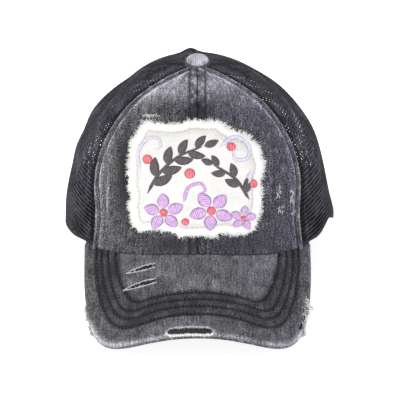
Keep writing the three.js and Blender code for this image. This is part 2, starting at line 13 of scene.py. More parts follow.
import bpy
import numpy as np
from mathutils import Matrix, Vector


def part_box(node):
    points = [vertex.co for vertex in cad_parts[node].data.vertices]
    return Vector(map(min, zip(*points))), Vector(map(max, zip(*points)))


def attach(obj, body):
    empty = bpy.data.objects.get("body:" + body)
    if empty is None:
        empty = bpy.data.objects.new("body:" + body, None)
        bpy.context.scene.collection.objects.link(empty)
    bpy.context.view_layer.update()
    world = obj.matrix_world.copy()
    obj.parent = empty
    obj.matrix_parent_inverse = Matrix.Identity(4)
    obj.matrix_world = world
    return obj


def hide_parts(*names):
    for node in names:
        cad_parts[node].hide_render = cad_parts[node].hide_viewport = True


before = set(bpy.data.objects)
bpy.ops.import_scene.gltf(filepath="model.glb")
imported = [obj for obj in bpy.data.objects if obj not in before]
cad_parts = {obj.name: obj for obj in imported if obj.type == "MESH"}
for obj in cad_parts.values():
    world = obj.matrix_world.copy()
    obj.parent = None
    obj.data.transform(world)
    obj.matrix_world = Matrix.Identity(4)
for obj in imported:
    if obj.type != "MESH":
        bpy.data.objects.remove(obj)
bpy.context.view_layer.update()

# Driving dimensions, as in the part's source
RIM_HALF_WIDTH = 101
RIM_FRONT_REACH = 100
RIM_BACK_REACH = 82
RIM_SQUARENESS = 2.2
CROWN_HEIGHT = 121
APEX_FORWARD = 8
COTTON_WALL = 1.5
MESH_WALL = 1.1
SEAM_GAP = 0.4
LAYER_GAP = 0.4
TOP_HOLE_RADIUS = 4
REAR_RIM_PRESS = 4
SIDE_SEAM_AZIMUTH = 112
PEAK_LENGTH = 67.6
PEAK_HALF_WIDTH = 83
PEAK_PITCH = math.radians(40)
PEAK_ROOT_DROP = 25.5
PEAK_FRONT_DROP = 42
PEAK_DROP_ONSET = 20
PEAK_DROP_SHARPNESS = 2.6
PEAK_ROOT_AZIMUTH = 53
RIM_EASE_ANGLE = 23
PEAK_SQUARENESS = 3.8
PEAK_SIDE_TURN = math.radians(88)
BOARD_THICKNESS = 1.6
COVER_THICKNESS = 0.9
PEAK_LAYER_GAP = 0.3
WELT_WIDTH = 3
WELT_THICKNESS = 0.9
TAPE_WIDTH = 9
TAPE_THICKNESS = 0.7
SWEATBAND_HEIGHT = 31
SWEATBAND_THICKNESS = 1.6
BUTTON_RADIUS = 9
BUTTON_HEIGHT = 5
BUTTON_EDGE = 0.6
BUTTON_HOLLOW = 0.8
PATCH_WIDTH = 92
PATCH_HEIGHT = 83
PATCH_CENTRE = (-0.7, 56.5)
PATCH_THICKNESS = 1.2
PATCH_GAP = 0.6
OPENING_WIDTH = 68
OPENING_TOP = 92
BINDING_WIDTH = 7
BINDING_THICKNESS = 2.4
STRAP_HEIGHT = 24
STRAP_THICKNESS = 1.2
STRAP_OVERLAP = 30
STRAP_SEWN_LENGTH = 12
STRAP_CLIMB_LENGTH = 8
ROWS_UP = 14
TAPE_ROWS = (4, 13)
BACK_TAPE_ROWS = (9, 13)
WELT_ROWS = (0, 13.6)

# Meridians of the crown from rim to apex, out and up, and the azimuths of the front seam
MERIDIANS = {
    "front": ((1, 1, 0.96, 0.85, 0.64, 0.34, 0), (0, 0.225, 0.46, 0.68, 0.86, 0.955, 1)),
    "side": ((1, 0.985, 0.92, 0.81, 0.63, 0.36, 0), (0, 0.19, 0.41, 0.625, 0.82, 0.955, 1)),
    "back": ((1, 1.015, 0.985, 0.885, 0.705, 0.4, 0), (0, 0.21, 0.435, 0.67, 0.89, 1.02, 1)),
}
SEAM_AZIMUTHS = (46.8, 45.3, 48.9, 48.6, 45, 38.5, 32)

# Soft folds of the net: azimuth, share, their spreads, and the rise as a share of the rim's half width
FOLDS = (
    (-100, 0.7, 35, 0.06, -0.03),
    (-100, 0.54, 30, 0.07, 0.022),
    (-96, 0.37, 30, 0.06, 0.014),
    (-140, 0.84, 26, 0.06, 0.03),
    (95, 0.03, 34, 0.09, 0.034),
    (100, 0.76, 35, 0.06, -0.022),
    (102, 0.45, 34, 0.16, 0.027),
)

# The net puckers up behind the button: place across and height
PUCKER_ACROSS = -5.5
PUCKER_HEIGHT = 3.4

# Waves of the free rim: azimuth, spread and rise
RIM_WAVES = ((70, 12, 10), (-60, 7, -1.5))

# The patch's torn outline, as shares of its width and height from its centre
PATCH_EDGE = (
    (0.498, 0.11), (0.457, 0.255), (0.365, 0.381), (0.239, 0.419), (0.161, 0.502), (0.047, 0.501),
    (-0.067, 0.502), (-0.116, 0.473), (-0.188, 0.475), (-0.352, 0.495), (-0.41, 0.451), (-0.487, 0.295),
    (-0.491, 0.127), (-0.5, -0.075), (-0.471, -0.148), (-0.498, -0.242), (-0.477, -0.352), (-0.413, -0.448),
    (-0.273, -0.445), (-0.159, -0.46), (-0.11, -0.501), (0.125, -0.501), (0.167, -0.465), (0.332, -0.478),
    (0.413, -0.443), (0.466, -0.265), (0.467, -0.039),
)

# Worn places through the peak's upper cover, two tears and a slot: x, s, length, width and turn in degrees
PEAK_TEARS = (
    (-0.484 * PEAK_HALF_WIDTH, 0.088 * PEAK_LENGTH, 20, 3.6, 7),
    (-0.493 * PEAK_HALF_WIDTH, 0.279 * PEAK_LENGTH, 22, 3.8, 6),
    (-0.064 * PEAK_HALF_WIDTH, 0.93 * PEAK_LENGTH, 31.5, 4.2, -1),
)
SLOT = PEAK_TEARS[2]

DEGREE = math.pi / 180
PEAK_HALF_THICKNESS = BOARD_THICKNESS / 2 + PEAK_LAYER_GAP + COVER_THICKNESS
PEAK_SEAT = PEAK_HALF_THICKNESS + LAYER_GAP
APEX = np.array([0, -APEX_FORWARD, CROWN_HEIGHT])
TAPE_FACE = -COTTON_WALL - LAYER_GAP
OPENING_SPRING = OPENING_TOP - OPENING_WIDTH / 2

# Rough lengths of the crown that lay out the weave: a meridian, and the reach of its sides
MERIDIAN_LENGTH = 160
SIDE_REACH = 95


# Small mathematics

def mix(start, end, share):
    return start + (end - start) * share


def smooth_step(start, end, value):
    share = np.clip((value - start) / (end - start), 0, 1)
    return share * share * (3 - 2 * share)


def bell(value, width):
    return np.exp(-((value / width) ** 2))


def unit(vectors):
    return vectors / np.maximum(np.linalg.norm(vectors, axis=-1, keepdims=True), 1e-9)


def stacked(*parts):
    """Points from their coordinates, each of them a number or a grid."""
    return np.stack(np.broadcast_arrays(*(np.asarray(part, float) for part in parts)), -1)


def spline(values, share):
    """A smooth curve through equally spaced values, at shares from 0 to 1 of its length."""
    values = np.asarray(values, float)
    last = len(values) - 1
    place = np.clip(share, 0, 1) * last
    i = np.minimum(np.asarray(place).astype(int), last - 1)
    f = place - i
    padded = np.concatenate([[2 * values[0] - values[1]], values, [2 * values[-1] - values[-2]]])
    before, start, end, after = (padded[i + k] for k in range(4))
    bend = 2 * before - 5 * start + 4 * end - after
    twist = 3 * (start - end) + after - before
    return start + 0.5 * f * (end - before + f * (bend + f * twist))


def way_along(path):
    return np.concatenate([[0], np.cumsum(np.linalg.norm(np.diff(path, axis=0), axis=1))])


def at_way(path, places, way=None):
    """Points at distances along a path."""
    way = way_along(path) if way is None else way
    return stacked(*(np.interp(places, way, column) for column in path.T))


def even_path(path, count):
    return at_way(path, np.linspace(0, way_along(path)[-1], count))


def smooth_path(points, count):
    """A smooth path through a few points, at evenly spread places."""
    fine = np.linspace(0, 1, 8 * count)
    return even_path(stacked(*(spline(column, fine) for column in np.transpose(points))), count)


def smoothed(loop, times):
    for _ in range(times):
        loop = (np.roll(loop, 1, 0) + 2 * loop + np.roll(loop, -1, 0)) / 4
    return loop


def noise(u, v, size, seed):
    """Smooth random relief from -1 to 1 over a plane, with bumps of about the given size."""
    grid = np.random.default_rng(seed).uniform(-1, 1, (64, 64))
    u, v = np.asarray(u) / size + 1000.5, np.asarray(v) / size + 1000.5
    i, j = np.floor(u).astype(int), np.floor(v).astype(int)
    f, g = smooth_step(0, 1, u - i), smooth_step(0, 1, v - j)
    low, high = (mix(grid[i % 64, (j + k) % 64], grid[(i + 1) % 64, (j + k) % 64], f) for k in (0, 1))
    return mix(low, high, g)


# The crown and the peak as surfaces

def rim_plan(azimuth, offset):
    sine, cosine = np.sin(azimuth * DEGREE), np.cos(azimuth * DEGREE)
    reach = np.where(cosine > 0, RIM_FRONT_REACH, RIM_BACK_REACH) + offset
    across = np.abs(sine / (RIM_HALF_WIDTH + offset)) ** RIM_SQUARENESS
    radius = (across + np.abs(cosine / reach) ** RIM_SQUARENESS) ** (-1 / RIM_SQUARENESS)
    return radius * sine, -radius * cosine


def peak_drop(x, s):
    forward = np.maximum(0, s) / PEAK_LENGTH
    gain = forward**2 * (PEAK_LENGTH + PEAK_DROP_ONSET) / (np.maximum(0, s) + PEAK_DROP_ONSET)
    across = np.abs(x) / PEAK_HALF_WIDTH
    return PEAK_ROOT_DROP * across**2 + PEAK_FRONT_DROP * gain * across**PEAK_DROP_SHARPNESS


def sheet_point(x, s):
    sine, cosine = math.sin(PEAK_PITCH), math.cos(PEAK_PITCH)
    drop = peak_drop(x, s)
    y = drop * sine - RIM_FRONT_REACH - s * cosine
    return stacked(x, y, -PEAK_SEAT / cosine - s * sine - drop * cosine)


def sheet_normal(x, s):
    step = 0.01
    here = sheet_point(x, s)
    return unit(np.cross(sheet_point(x, s + step) - here, sheet_point(x + step, s) - here))


def on_sheet(x, s, height):
    x, s, height = np.broadcast_arrays(np.asarray(x, float), np.asarray(s, float), height)
    return sheet_point(x, s) + sheet_normal(x, s) * height[..., None]


def sheet_forward(x, y):
    return (peak_drop(x, 0) * math.sin(PEAK_PITCH) - (y + RIM_FRONT_REACH)) / math.cos(PEAK_PITCH)


def seat_height(x, y):
    s = sheet_forward(x, y)
    return sheet_point(x, s)[..., 2] + PEAK_SEAT / sheet_normal(x, s)[..., 2]


ROOT_END_FORWARD = sheet_forward(*rim_plan(np.float64(PEAK_ROOT_AZIMUTH), -COTTON_WALL))


def peak_edge(share):
    sine, cosine = np.sin(share * PEAK_SIDE_TURN), np.cos(share * PEAK_SIDE_TURN)
    reach = (np.abs(sine) ** PEAK_SQUARENESS + cosine**PEAK_SQUARENESS) ** (-1 / PEAK_SQUARENESS)
    forward = ROOT_END_FORWARD + (PEAK_LENGTH - ROOT_END_FORWARD) * reach * cosine
    return stacked(PEAK_HALF_WIDTH * reach * sine, forward)


def peak_root(share, tucked=0.0):
    x, y = rim_plan(share * PEAK_ROOT_AZIMUTH, -COTTON_WALL - tucked)
    return stacked(x, sheet_forward(x, y))


def across_peak(columns, tucked=0.0):
    """The peak's edge and the way to its root, in x and s, and the length between them."""
    share = np.linspace(1, -1, columns + 1)
    edge = peak_edge(share)
    inward = peak_root(share, tucked) - edge
    return edge, inward, np.linalg.norm(inward, axis=1)


def cover_section(outside, columns, flat_rows, turn_rows, tucked=0.0):
    """x, s and height of a cover over a grid: flat from the root, then a quarter circle at the edge."""
    edge, inward, length = across_peak(columns, tucked)
    radius = PEAK_HALF_THICKNESS - (0 if outside else COVER_THICKNESS)
    flat = np.linspace(0, 1, flat_rows + 1)[:, None]
    lowest = math.asin(PEAK_LAYER_GAP / 2 / radius)
    turn = np.linspace(math.pi / 2, lowest, turn_rows + 1)[1:, None]
    share = np.vstack([mix(1, PEAK_HALF_THICKNESS / length, flat),
                       (PEAK_HALF_THICKNESS - radius * np.cos(turn)) / length])
    height = np.vstack([0 * flat + radius, radius * np.sin(turn)]) + 0 * share
    at = edge + inward * share[..., None]
    return at[..., 0], at[..., 1], height


def stance():
    """Slope of what the cap stands on: it passes the pressed rim and touches the coarse under cover."""
    slopes = []
    for outside in (True, False):
        x, s, height = cover_section(outside, 26, 5, 3)
        low = on_sheet(x, s, -height)
        slopes.append(((REAR_RIM_PRESS - low[..., 2]) / (RIM_BACK_REACH - low[..., 1])).max())
    return max(slopes)


STANCE = stance()


def rim_height(azimuth, offset):
    plan = rim_plan(azimuth, offset)
    on_peak = 1 - smooth_step(PEAK_ROOT_AZIMUTH, PEAK_ROOT_AZIMUTH + RIM_EASE_ANGLE, np.abs(azimuth))
    free = sum(rise * bell(azimuth - at, spread) for at, spread, rise in RIM_WAVES)
    ground = REAR_RIM_PRESS + (plan[1] - RIM_BACK_REACH) * STANCE
    band = REAR_RIM_PRESS / 3
    near = np.maximum(0, band - np.abs(ground)) / band
    free = free + np.maximum(0, ground) + near * near * band / 4
    seated = np.sign(azimuth) * np.minimum(np.abs(azimuth), PEAK_ROOT_AZIMUTH + 1)
    return mix(free, seat_height(*rim_plan(seated, offset)), on_peak)


def wrapped(azimuth):
    return (azimuth + 180) % 360 - 180


def crown_point(azimuth, share, offset=0.0):
    azimuth, share, offset = np.broadcast_arrays(*(np.asarray(a, float) for a in (azimuth, share, offset)))
    turned = wrapped(azimuth)
    cosine = np.cos(turned * DEGREE)
    front, back = np.maximum(0, cosine) ** 1.5, np.maximum(0, -cosine) ** 1.5
    weights = {"front": front, "side": 1 - front - back, "back": back}
    out, up = (sum(weights[k] * spline(MERIDIANS[k][n], share) for k in weights) for n in (0, 1))
    rise = sum(
        height * bell(wrapped(turned - at), spread) * bell(share - level, level_spread)
        for at, level, spread, level_spread, height in FOLDS
    )
    x, y = rim_plan(turned, offset)
    z = (CROWN_HEIGHT + offset) * up + rim_height(turned, offset) * (1 - share) ** 2
    z = z + PUCKER_HEIGHT * back * bell(x * out - PUCKER_ACROSS, 6) * bell(share - 0.84, 0.1)
    return stacked(x * (out + rise), y * (out + rise) - APEX_FORWARD * (1 - out), z)


def crown_row(azimuth, share, offset):
    """Points of the crown and the directions straight out of it."""
    outward = unit(crown_point(azimuth, share, 0.5) - crown_point(azimuth, share, -0.5))
    return crown_point(azimuth, share, offset), outward


def radius_at(azimuth, share):
    return np.linalg.norm((crown_point(azimuth, share) - APEX)[..., :2], axis=-1)


def meridian_table(azimuth):
    shares = np.linspace(0, 1, 49)
    return shares, way_along(crown_point(azimuth, shares))


def cloth_height(azimuth, share):
    return np.interp(share, *meridian_table(azimuth))


def cloth_place(azimuth, across, above):
    """Azimuth and share of a place laid out like cloth about a meridian."""
    shares, lengths = meridian_table(azimuth)
    share = np.interp(above, lengths, shares)
    return azimuth + across / radius_at(azimuth, share) / DEGREE, share


def cloth_point(azimuth, across, above, offset):
    return crown_point(*cloth_place(azimuth, across, above), offset)


def share_at_radius(azimuth, radius):
    shares = np.linspace(1, 0.5, 4001)
    return float(np.interp(radius, radius_at(azimuth, shares), shares))


def beside_apex(azimuths, radii):
    return np.array([crown_point(a, share_at_radius(a, r)) for a in azimuths for r in radii])


TOP_SHARE = share_at_radius(80, TOP_HOLE_RADIUS)


def length_angle(length, azimuth, share):
    return length / np.maximum(radius_at(azimuth, share), TOP_HOLE_RADIUS) / DEGREE


def seam_azimuth(share):
    return spline(SEAM_AZIMUTHS, share)


def turned_back(points):
    """Points of the crown's frame, tipped to the way the cap stands."""
    lean = -math.atan(STANCE)
    y = points[..., 1] * math.cos(lean) - points[..., 2] * math.sin(lean)
    z = points[..., 1] * math.sin(lean) + points[..., 2] * math.cos(lean)
    return stacked(points[..., 0], y, z)


def board_corner():
    """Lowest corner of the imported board's box, worked out again before the cap is put on its surface."""
    edge, inward, length = across_peak(26)
    share = mix(1, PEAK_HALF_THICKNESS / length, np.linspace(0, 1, 6)[:, None])
    at = edge + inward * share[..., None]
    faces = [on_sheet(at[..., 0], at[..., 1], side * BOARD_THICKNESS / 2) for side in (-1, 1)]
    return turned_back(np.stack(faces)).reshape(-1, 3).min(0)


SHIFT = np.array(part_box("peak_board")[0]) * 1000 - board_corner()


def above_floor(points, clearance=0.02):
    """The points, with those that would sink into what the cap stands on lifted clear of it."""
    lowest = REAR_RIM_PRESS + (points[..., 1] - RIM_BACK_REACH) * STANCE + clearance
    return stacked(points[..., 0], points[..., 1], np.maximum(points[..., 2], lowest))


def in_row_frame(points):
    return (turned_back(points) + SHIFT) / 1000


# Meshes

def add_object(name, data):
    made = bpy.data.objects.new(name, data)
    bpy.context.scene.collection.objects.link(made)
    return made


class Piece:
    """Points, four-sided faces and values at the points of one piece, gathered in the crown's frame."""

    def __init__(self):
        self.points, self.faces, self.values, self.count = [], [], [], 0

    def add(self, points, faces, cloth=None, wear=0.0, shade=0.0):
        points = np.reshape(points, (-1, 3))
        flat = points if cloth is None else np.reshape(cloth, (-1, 3))
        wide = [np.broadcast_to(np.ravel(v), len(points)) for v in (wear, shade)]
        self.points.append(points)
        self.faces.append(np.reshape(faces, (-1, 4)) + self.count)
        self.values.append(np.column_stack([flat, *wide]))
        self.count += len(points)

    def add_shell(self, outer, inner, cloth, wear=0.0, shade=0.0, **how):
        """A closed shell between two grids, with the same cloth, wear and shade on both its faces."""
        wide = [np.stack([np.broadcast_to(v, outer.shape[:2])] * 2) for v in (wear, shade)]
        self.add(np.stack([outer, inner]), shell(outer, **how), np.stack([cloth, cloth]), *wide)

    def make(self, name, material, slot, *nodes):
        points, faces = in_row_frame(np.concatenate(self.points)), np.concatenate(self.faces)
        values = np.concatenate(self.values)
        mesh = bpy.data.meshes.new(name)
        mesh.vertices.add(len(points))
        mesh.vertices.foreach_set("co", points.ravel())
        mesh.loops.add(faces.size)
        mesh.loops.foreach_set("vertex_index", faces.ravel().astype(np.int32))
        mesh.polygons.add(len(faces))
        mesh.polygons.foreach_set("loop_start", np.arange(0, faces.size, 4, dtype=np.int32))
        mesh.polygons.foreach_set("use_smooth", np.ones(len(faces), bool))
        mesh.update(calc_edges=True)
        mesh.set_sharp_from_angle(angle=math.radians(50))
        cloth = mesh.attributes.new("cloth", "FLOAT_VECTOR", "POINT")
        cloth.data.foreach_set("vector", values[:, :3].ravel())
        for column, title in ((3, "wear"), (4, "shade")):
            mesh.attributes.new(title, "FLOAT", "POINT").data.foreach_set("value", values[:, column].copy())
        mesh.materials.append(material)
        made = add_object(name, mesh)
        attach(made, "root")
        if nodes:
            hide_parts(*nodes)


def shell(outer, keep=None, closed=False, flip=False):
    """Faces of a closed shell between two grids of points, the outer one and then the inner one.

    Cells that keep leaves out are cut right through. A closed grid joins its last column to its first.
    """
    rows, columns = outer.shape[:2]
    index = np.arange(2 * rows * columns).reshape(2, rows, columns)
    if closed:
        index = np.concatenate([index, index[:, :, :1]], 2)
    if keep is None:
        keep = np.ones((rows - 1, index.shape[2] - 1), bool)
    low_left, low_right = index[:, :-1, :-1], index[:, :-1, 1:]
    high_left, high_right = index[:, 1:, :-1], index[:, 1:, 1:]
    faces = [
        np.stack([low_left[0], low_right[0], high_right[0], high_left[0]], -1)[keep],
        np.stack([low_left[1], high_left[1], high_right[1], low_right[1]], -1)[keep],
    ]
    around = np.pad(keep, ((1, 1), (0, 0)))
    sideways = np.pad(keep, ((0, 0), (1, 1)), mode="wrap" if closed else "constant")
    for start, end, gone in (
        (low_left, low_right, ~around[:-2]),
        (low_right, high_right, ~sideways[:, 2:]),
        (high_right, high_left, ~around[2:]),
        (high_left, low_left, ~sideways[:, :-2]),
    ):
        faces.append(np.stack([end[0], start[0], start[1], end[1]], -1)[keep & gone])
    faces = np.concatenate(faces)
    return faces[:, ::-1] if flip else faces


def make_shell(name, material, slot, node_name, *grids, **how):
    piece = Piece()
    piece.add_shell(*grids, **how)
    piece.make(name, material, slot, node_name)


def strands(paths, up, width, height):
    """Threads of oval section along many paths with equally many points: all their points and faces."""
    paths = np.asarray(paths, float)
    count, steps = paths.shape[:2]
    tangent = unit(np.gradient(paths, axis=1))
    side = unit(np.cross(np.broadcast_to(up, paths.shape), tangent))
    rise = np.cross(tangent, side)
    width, height = (np.broadcast_to(v, (count, steps))[..., None] / 2 for v in (width, height))
    side, rise = side * width, rise * height
    ring = np.stack([paths + side, paths + rise, paths - side, paths - rise], 2)
    index = np.arange(count * steps * 4).reshape(count, steps, 4)
    near, far = index[:, :-1], index[:, 1:]
    faces = np.stack([near, np.roll(near, -1, 2), np.roll(far, -1, 2), far], -1).reshape(-1, 4)
    ends = np.concatenate([index[:, 0, ::-1], index[:, -1]])
    return ring, np.concatenate([faces, ends])


def stitches(path, up, length, gap, width, height):
    """A running stitch along a path of points: each stitch dips into the cloth at both its ends."""
    way = way_along(path)
    starts = np.arange(gap / 2, way[-1] - length, length + gap)
    shares = np.linspace(0, 1, 5)
    along = starts[:, None] + shares * length
    ups = unit(at_way(up, along, way))
    arch = np.sin(shares * math.pi) ** 0.5
    lift = arch * height * 0.55 - 0.05 - height * 0.25
    paths = at_way(path, along, way) + ups * lift[None, :, None]
    return strands(paths, ups, width * (0.35 + 0.65 * arch), height)


def sew(name, material, slot, rows):
    """A piece of running stitches from rows of a path, its outward directions, and the stitch's sizes."""
    piece = Piece()
    for row in rows:
        piece.add(*stitches(*row))
    piece.make(name, material, slot)


# Materials

def node(tree, kind, inputs=None, **settings):
    """A new shader node. Each input takes a number or a colour, or is linked to another node's output."""
    made = tree.nodes.new("ShaderNode" + kind)
    for name, value in settings.items():
        setattr(made, name, value)
    for name, value in (inputs or {}).items():
        if isinstance(value, bpy.types.NodeSocket):
            tree.links.new(value, made.inputs[name])
        else:
            made.inputs[name].default_value = value
    return made


def new_material(name, roughness, sheen=0.0, specular=0.3):
    material = bpy.data.materials.new(name)
    material.use_nodes = True
    shader = material.node_tree.nodes["Principled BSDF"]
    shader.inputs["Roughness"].default_value = roughness
    shader.inputs["Sheen Weight"].default_value = sheen
    shader.inputs["Sheen Roughness"].default_value = 0.5
    shader.inputs["Specular IOR Level"].default_value = specular
    return material, material.node_tree, shader


def calculate(tree, operation, a, b=0.0, c=0.0, clamp=False):
    return node(tree, "Math", {0: a, 1: b, 2: c}, operation=operation, use_clamp=clamp).outputs[0]


def added(tree, a, b):
    return calculate(tree, "ADD", a, b)


def attribute(tree, name, output="Fac"):
    return node(tree, "Attribute", attribute_name=name).outputs[output]


def scaled(tree, vector, x, y, turn=0.0):
    mapped = node(tree, "Mapping", {"Vector": vector, "Rotation": (0, 0, turn), "Scale": (x, y, 1)})
    return mapped.outputs["Vector"]


def cloud(tree, vector, size, detail=2.0, roughness=0.5):
    """Noise from 0 to 1 with features of about a size in the vector's units."""
    inputs = {"Vector": vector, "Scale": 1 / size, "Detail": detail, "Roughness": roughness}
    return node(tree, "TexNoise", inputs).outputs["Fac"]


def ridges(tree, vector, pitch, axis="X"):
    """Rounded ridges from 0 to 1 across an axis of the vector, at a pitch in its units."""
    inputs = {"Vector": vector, "Scale": 1 / pitch / 2 * math.pi / 10, "Distortion": 0.0}
    return node(tree, "TexWave", inputs, bands_direction=axis, wave_profile="SIN").outputs["Fac"]


def weighted(tree, *terms):
    """The sum of terms, each an output about 0.5 with the weight of its swing."""
    total = None
    for output, weight in terms:
        part = calculate(tree, "MULTIPLY_ADD", output, weight, -weight / 2)
        total = part if total is None else added(tree, total, part)
    return total


def ramp(tree, factor, stops):
    made = node(tree, "ValToRGB", {"Fac": factor})
    elements = made.color_ramp.elements
    while len(elements) < len(stops):
        elements.new(0.5)
    for element, (place, colour) in zip(elements, stops):
        element.position = place
        element.color = (*colour, 1)
    return made.outputs["Color"]


def mixed(tree, factor, first, second):
    return node(tree, "Mix", {"Factor": factor, 6: first, 7: second}, data_type="RGBA").outputs[2]


def finish_cloth(tree, shader, colour, dark, height, depth):
    """Joins up a cloth's colour, which the painted shade darkens towards the given dark colour, and its bump,
    whose depth is in mm.
    """
    # Painted shade: the shade value mixes the colour towards the dark colour of a seam or groove in shade.
    colour_with_painted_shade = mixed(tree, attribute(tree, "shade"), colour, (*dark, 1))
    tree.links.new(colour_with_painted_shade, shader.inputs["Base Color"])
    bump(tree, shader, height, depth)


def bump(tree, shader, height, depth):
    inputs = {"Height": height, "Distance": depth / 1000, "Strength": 1.0}
    tree.links.new(node(tree, "Bump", inputs).outputs["Normal"], shader.inputs["Normal"])


# Grey levels of washed cotton as displayed, from unworn to worn
COTTON_LEVELS = ((0, 0.13), (0.16, 0.235), (0.35, 0.33), (0.55, 0.44), (0.78, 0.6), (1, 0.84))
COTTON_TINT = (1, 0.985, 1.05)


def washed_cotton(name, swing, cool_cloud_and_fill_tint):
    """Washed black twill. Its wear bleaches it, painted shade darkens its seams and grooves, and it turns
    bluer in random clouds and, as a painted cool fill light, towards the wearer's left.
    """
    material, tree, shader = new_material(name, 0.92, sheen=0.04, specular=0.12)
    flat = attribute(tree, "cloth", "Vector")
    grain = cloud(tree, flat, 1.2, 3, 0.7)
    streaks = cloud(tree, scaled(tree, flat, 1, 0.2), 1.3, 2, 0.6)
    blotches = cloud(tree, flat, 9, 3, 0.6)
    clouds = cloud(tree, flat, 34, 2)
    twill = ridges(tree, scaled(tree, flat, 1, 1, math.radians(60)), 0.75)
    broad = cloud(tree, scaled(tree, flat, 1, 0.12), 3.6, 1)
    wear = attribute(tree, "wear")
    calm = calculate(tree, "MULTIPLY_ADD", wear, 6.0, -0.6, clamp=True)
    calm = calculate(tree, "MULTIPLY", calm, swing)
    worn = weighted(tree, (grain, 1.75), (streaks, 0.8), (blotches, 0.3), (clouds, 0.12), (broad, 0.3),
                    (twill, 0.06))
    worn = calculate(tree, "MULTIPLY_ADD", worn, calm, wear)
    plain, cool_cloud_and_fill_colour = (
        ramp(tree, worn, [(place, [level**2.2 * t for t in tint]) for place, level in COTTON_LEVELS])
        for tint in (COTTON_TINT, cool_cloud_and_fill_tint)
    )
    # Painted light: the cotton turns bluer towards the wearer's left, a painted cool fill light from that
    # side, over random bluer clouds.
    leftward = node(tree, "SeparateXYZ", {0: flat}).outputs["X"]
    cool_cloud_and_fill_share = calculate(tree, "MULTIPLY_ADD", leftward, 0.008, cloud(tree, flat, 24, 1), clamp=True)
    relief = weighted(tree, (twill, 0.6), (grain, 0.6), (streaks, 0.3))
    # The near-black colour is the painted shade in seams and grooves.
    finish_cloth(tree, shader, mixed(tree, cool_cloud_and_fill_share, plain, cool_cloud_and_fill_colour), (0.008, 0.008, 0.01), relief, 0.28)
    return material


def woven(name, dark, light, pitch, roughness=0.85, sheen=0.1, grain_size=1.2, swing=0.5, depth=0.2,
          weave_swing=0.35, specular=0.3):
    """Plain dark or light cloth with ribs of the given pitch both ways and an uneven colour."""
    material, tree, shader = new_material(name, roughness, sheen, specular)
    flat = attribute(tree, "cloth", "Vector")
    weave = calculate(tree, "MULTIPLY", ridges(tree, flat, pitch), ridges(tree, flat, pitch, "Y"))
    grain = cloud(tree, flat, grain_size, 3, 0.6)
    uneven = weighted(tree, (weave, weave_swing), (grain, swing), (cloud(tree, flat, 8, 2), 0.3))
    uneven = added(tree, added(tree, uneven, 0.5), attribute(tree, "wear"))
    colour = ramp(tree, uneven, [(0.1, dark), (0.9, light)])
    relief = weighted(tree, (weave, 0.8), (grain, 0.5))
    # A third of the dark colour is the painted shade in seams and grooves.
    finish_cloth(tree, shader, colour, [c * 0.3 for c in dark], relief, depth)
    return material


def thread(name, dark, light, pitch=0.8, roughness=0.6):
    """Spun or satin-stitched thread: fine ridges across the first cloth axis, with a colour to match."""
    material, tree, shader = new_material(name, roughness, 0.3, 0.4)
    flat = attribute(tree, "cloth", "Vector")
    lines = ridges(tree, flat, pitch)
    grain = cloud(tree, scaled(tree, flat, 1, 0.3), 1.0, 2)
    uneven = added(tree, weighted(tree, (lines, 0.3), (grain, 1.3)), 0.58)
    colour = ramp(tree, uneven, [(0.15, dark), (0.85, light)])
    # About a third of the dark colour is the painted shade round satin edges.
    finish_cloth(tree, shader, colour, [c * 0.35 for c in dark], lines, 0.15)
    return material


def moulded_board(name):
    material, tree, shader = new_material(name, 0.55, specular=0.4)
    place = node(tree, "TexCoord").outputs["Object"]
    grain = cloud(tree, place, 0.0008, 3)
    blotches = cloud(tree, place, 0.012, 2)
    uneven = added(tree, weighted(tree, (grain, 0.6), (blotches, 0.6)), 0.5)
    colour = ramp(tree, uneven, [(0, (0.006, 0.006, 0.007)), (1, (0.024, 0.024, 0.028))])
    tree.links.new(colour, shader.inputs["Base Color"])
    bump(tree, shader, grain, 0.1)
    return material


# The last colour of each cotton is the bluer one of its random clouds and of the painted cool fill light on
# the wearer's left.
COTTON = washed_cotton("washed_cotton", 1.1, (0.95, 0.935, 1.2))
PEAK_COTTON = washed_cotton("washed_peak_cotton", 0.8, (0.98, 0.965, 1.1))
NET = woven("net_thread", (0.009, 0.009, 0.011), (0.104, 0.104, 0.132), 0.6, swing=0.9, sheen=0.03,
            specular=0.15)
TAPE = woven("black_tape", (0.006, 0.006, 0.008), (0.016, 0.016, 0.019), 0.8, sheen=0.0, specular=0.08)
WEBBING = woven("black_webbing", (0.01, 0.01, 0.012), (0.035, 0.035, 0.04), 1.1, depth=0.35)
CANVAS = woven("bare_canvas", (0.52, 0.505, 0.48), (0.885, 0.868, 0.842), 0.9, 0.95, grain_size=1.6,
               depth=0.25, weave_swing=0.08)
# Its dark colour also sets the painted shadow round the button's foot.
BUTTON_CLOTH = woven("worn_button_cloth", (0.12, 0.12, 0.14), (0.72, 0.72, 0.78), 0.8, 0.9, swing=0.9)
FLUFF = thread("white_fray", (0.78, 0.77, 0.74), (0.95, 0.95, 0.93), 0.7, 0.9)
BARED = thread("bared_threads", (0.42, 0.42, 0.45), (0.75, 0.75, 0.76), 0.7, 0.9)
WORN_THREAD = thread("worn_grey_threads", (0.13, 0.13, 0.145), (0.4, 0.4, 0.43), 0.7, 0.9)
DARK_THREAD = thread("dark_stitching", (0.008, 0.008, 0.01), (0.03, 0.03, 0.035), 0.6)
GREY_THREAD = thread("grey_stitching", (0.05, 0.05, 0.055), (0.16, 0.16, 0.17), 0.6)
BEIGE_THREAD = thread("beige_stitching", (0.32, 0.31, 0.28), (0.6, 0.58, 0.53), 0.6)
CHARCOAL = thread("charcoal_satin", (0.006, 0.004, 0.006), (0.13, 0.108, 0.128))
LILAC = thread("lilac_satin", (0.27, 0.13, 0.34), (0.74, 0.49, 0.8))
PALE_LILAC = thread("pale_lilac_satin", (0.4, 0.36, 0.54), (0.8, 0.77, 0.88))
CORAL = thread("coral_satin", (0.42, 0.05, 0.08), (0.92, 0.22, 0.26))


# Cotton front

CENTRE_STITCH = 5.3
CLOSED_GAP = 0.03
SEAM_STITCH = 2.1

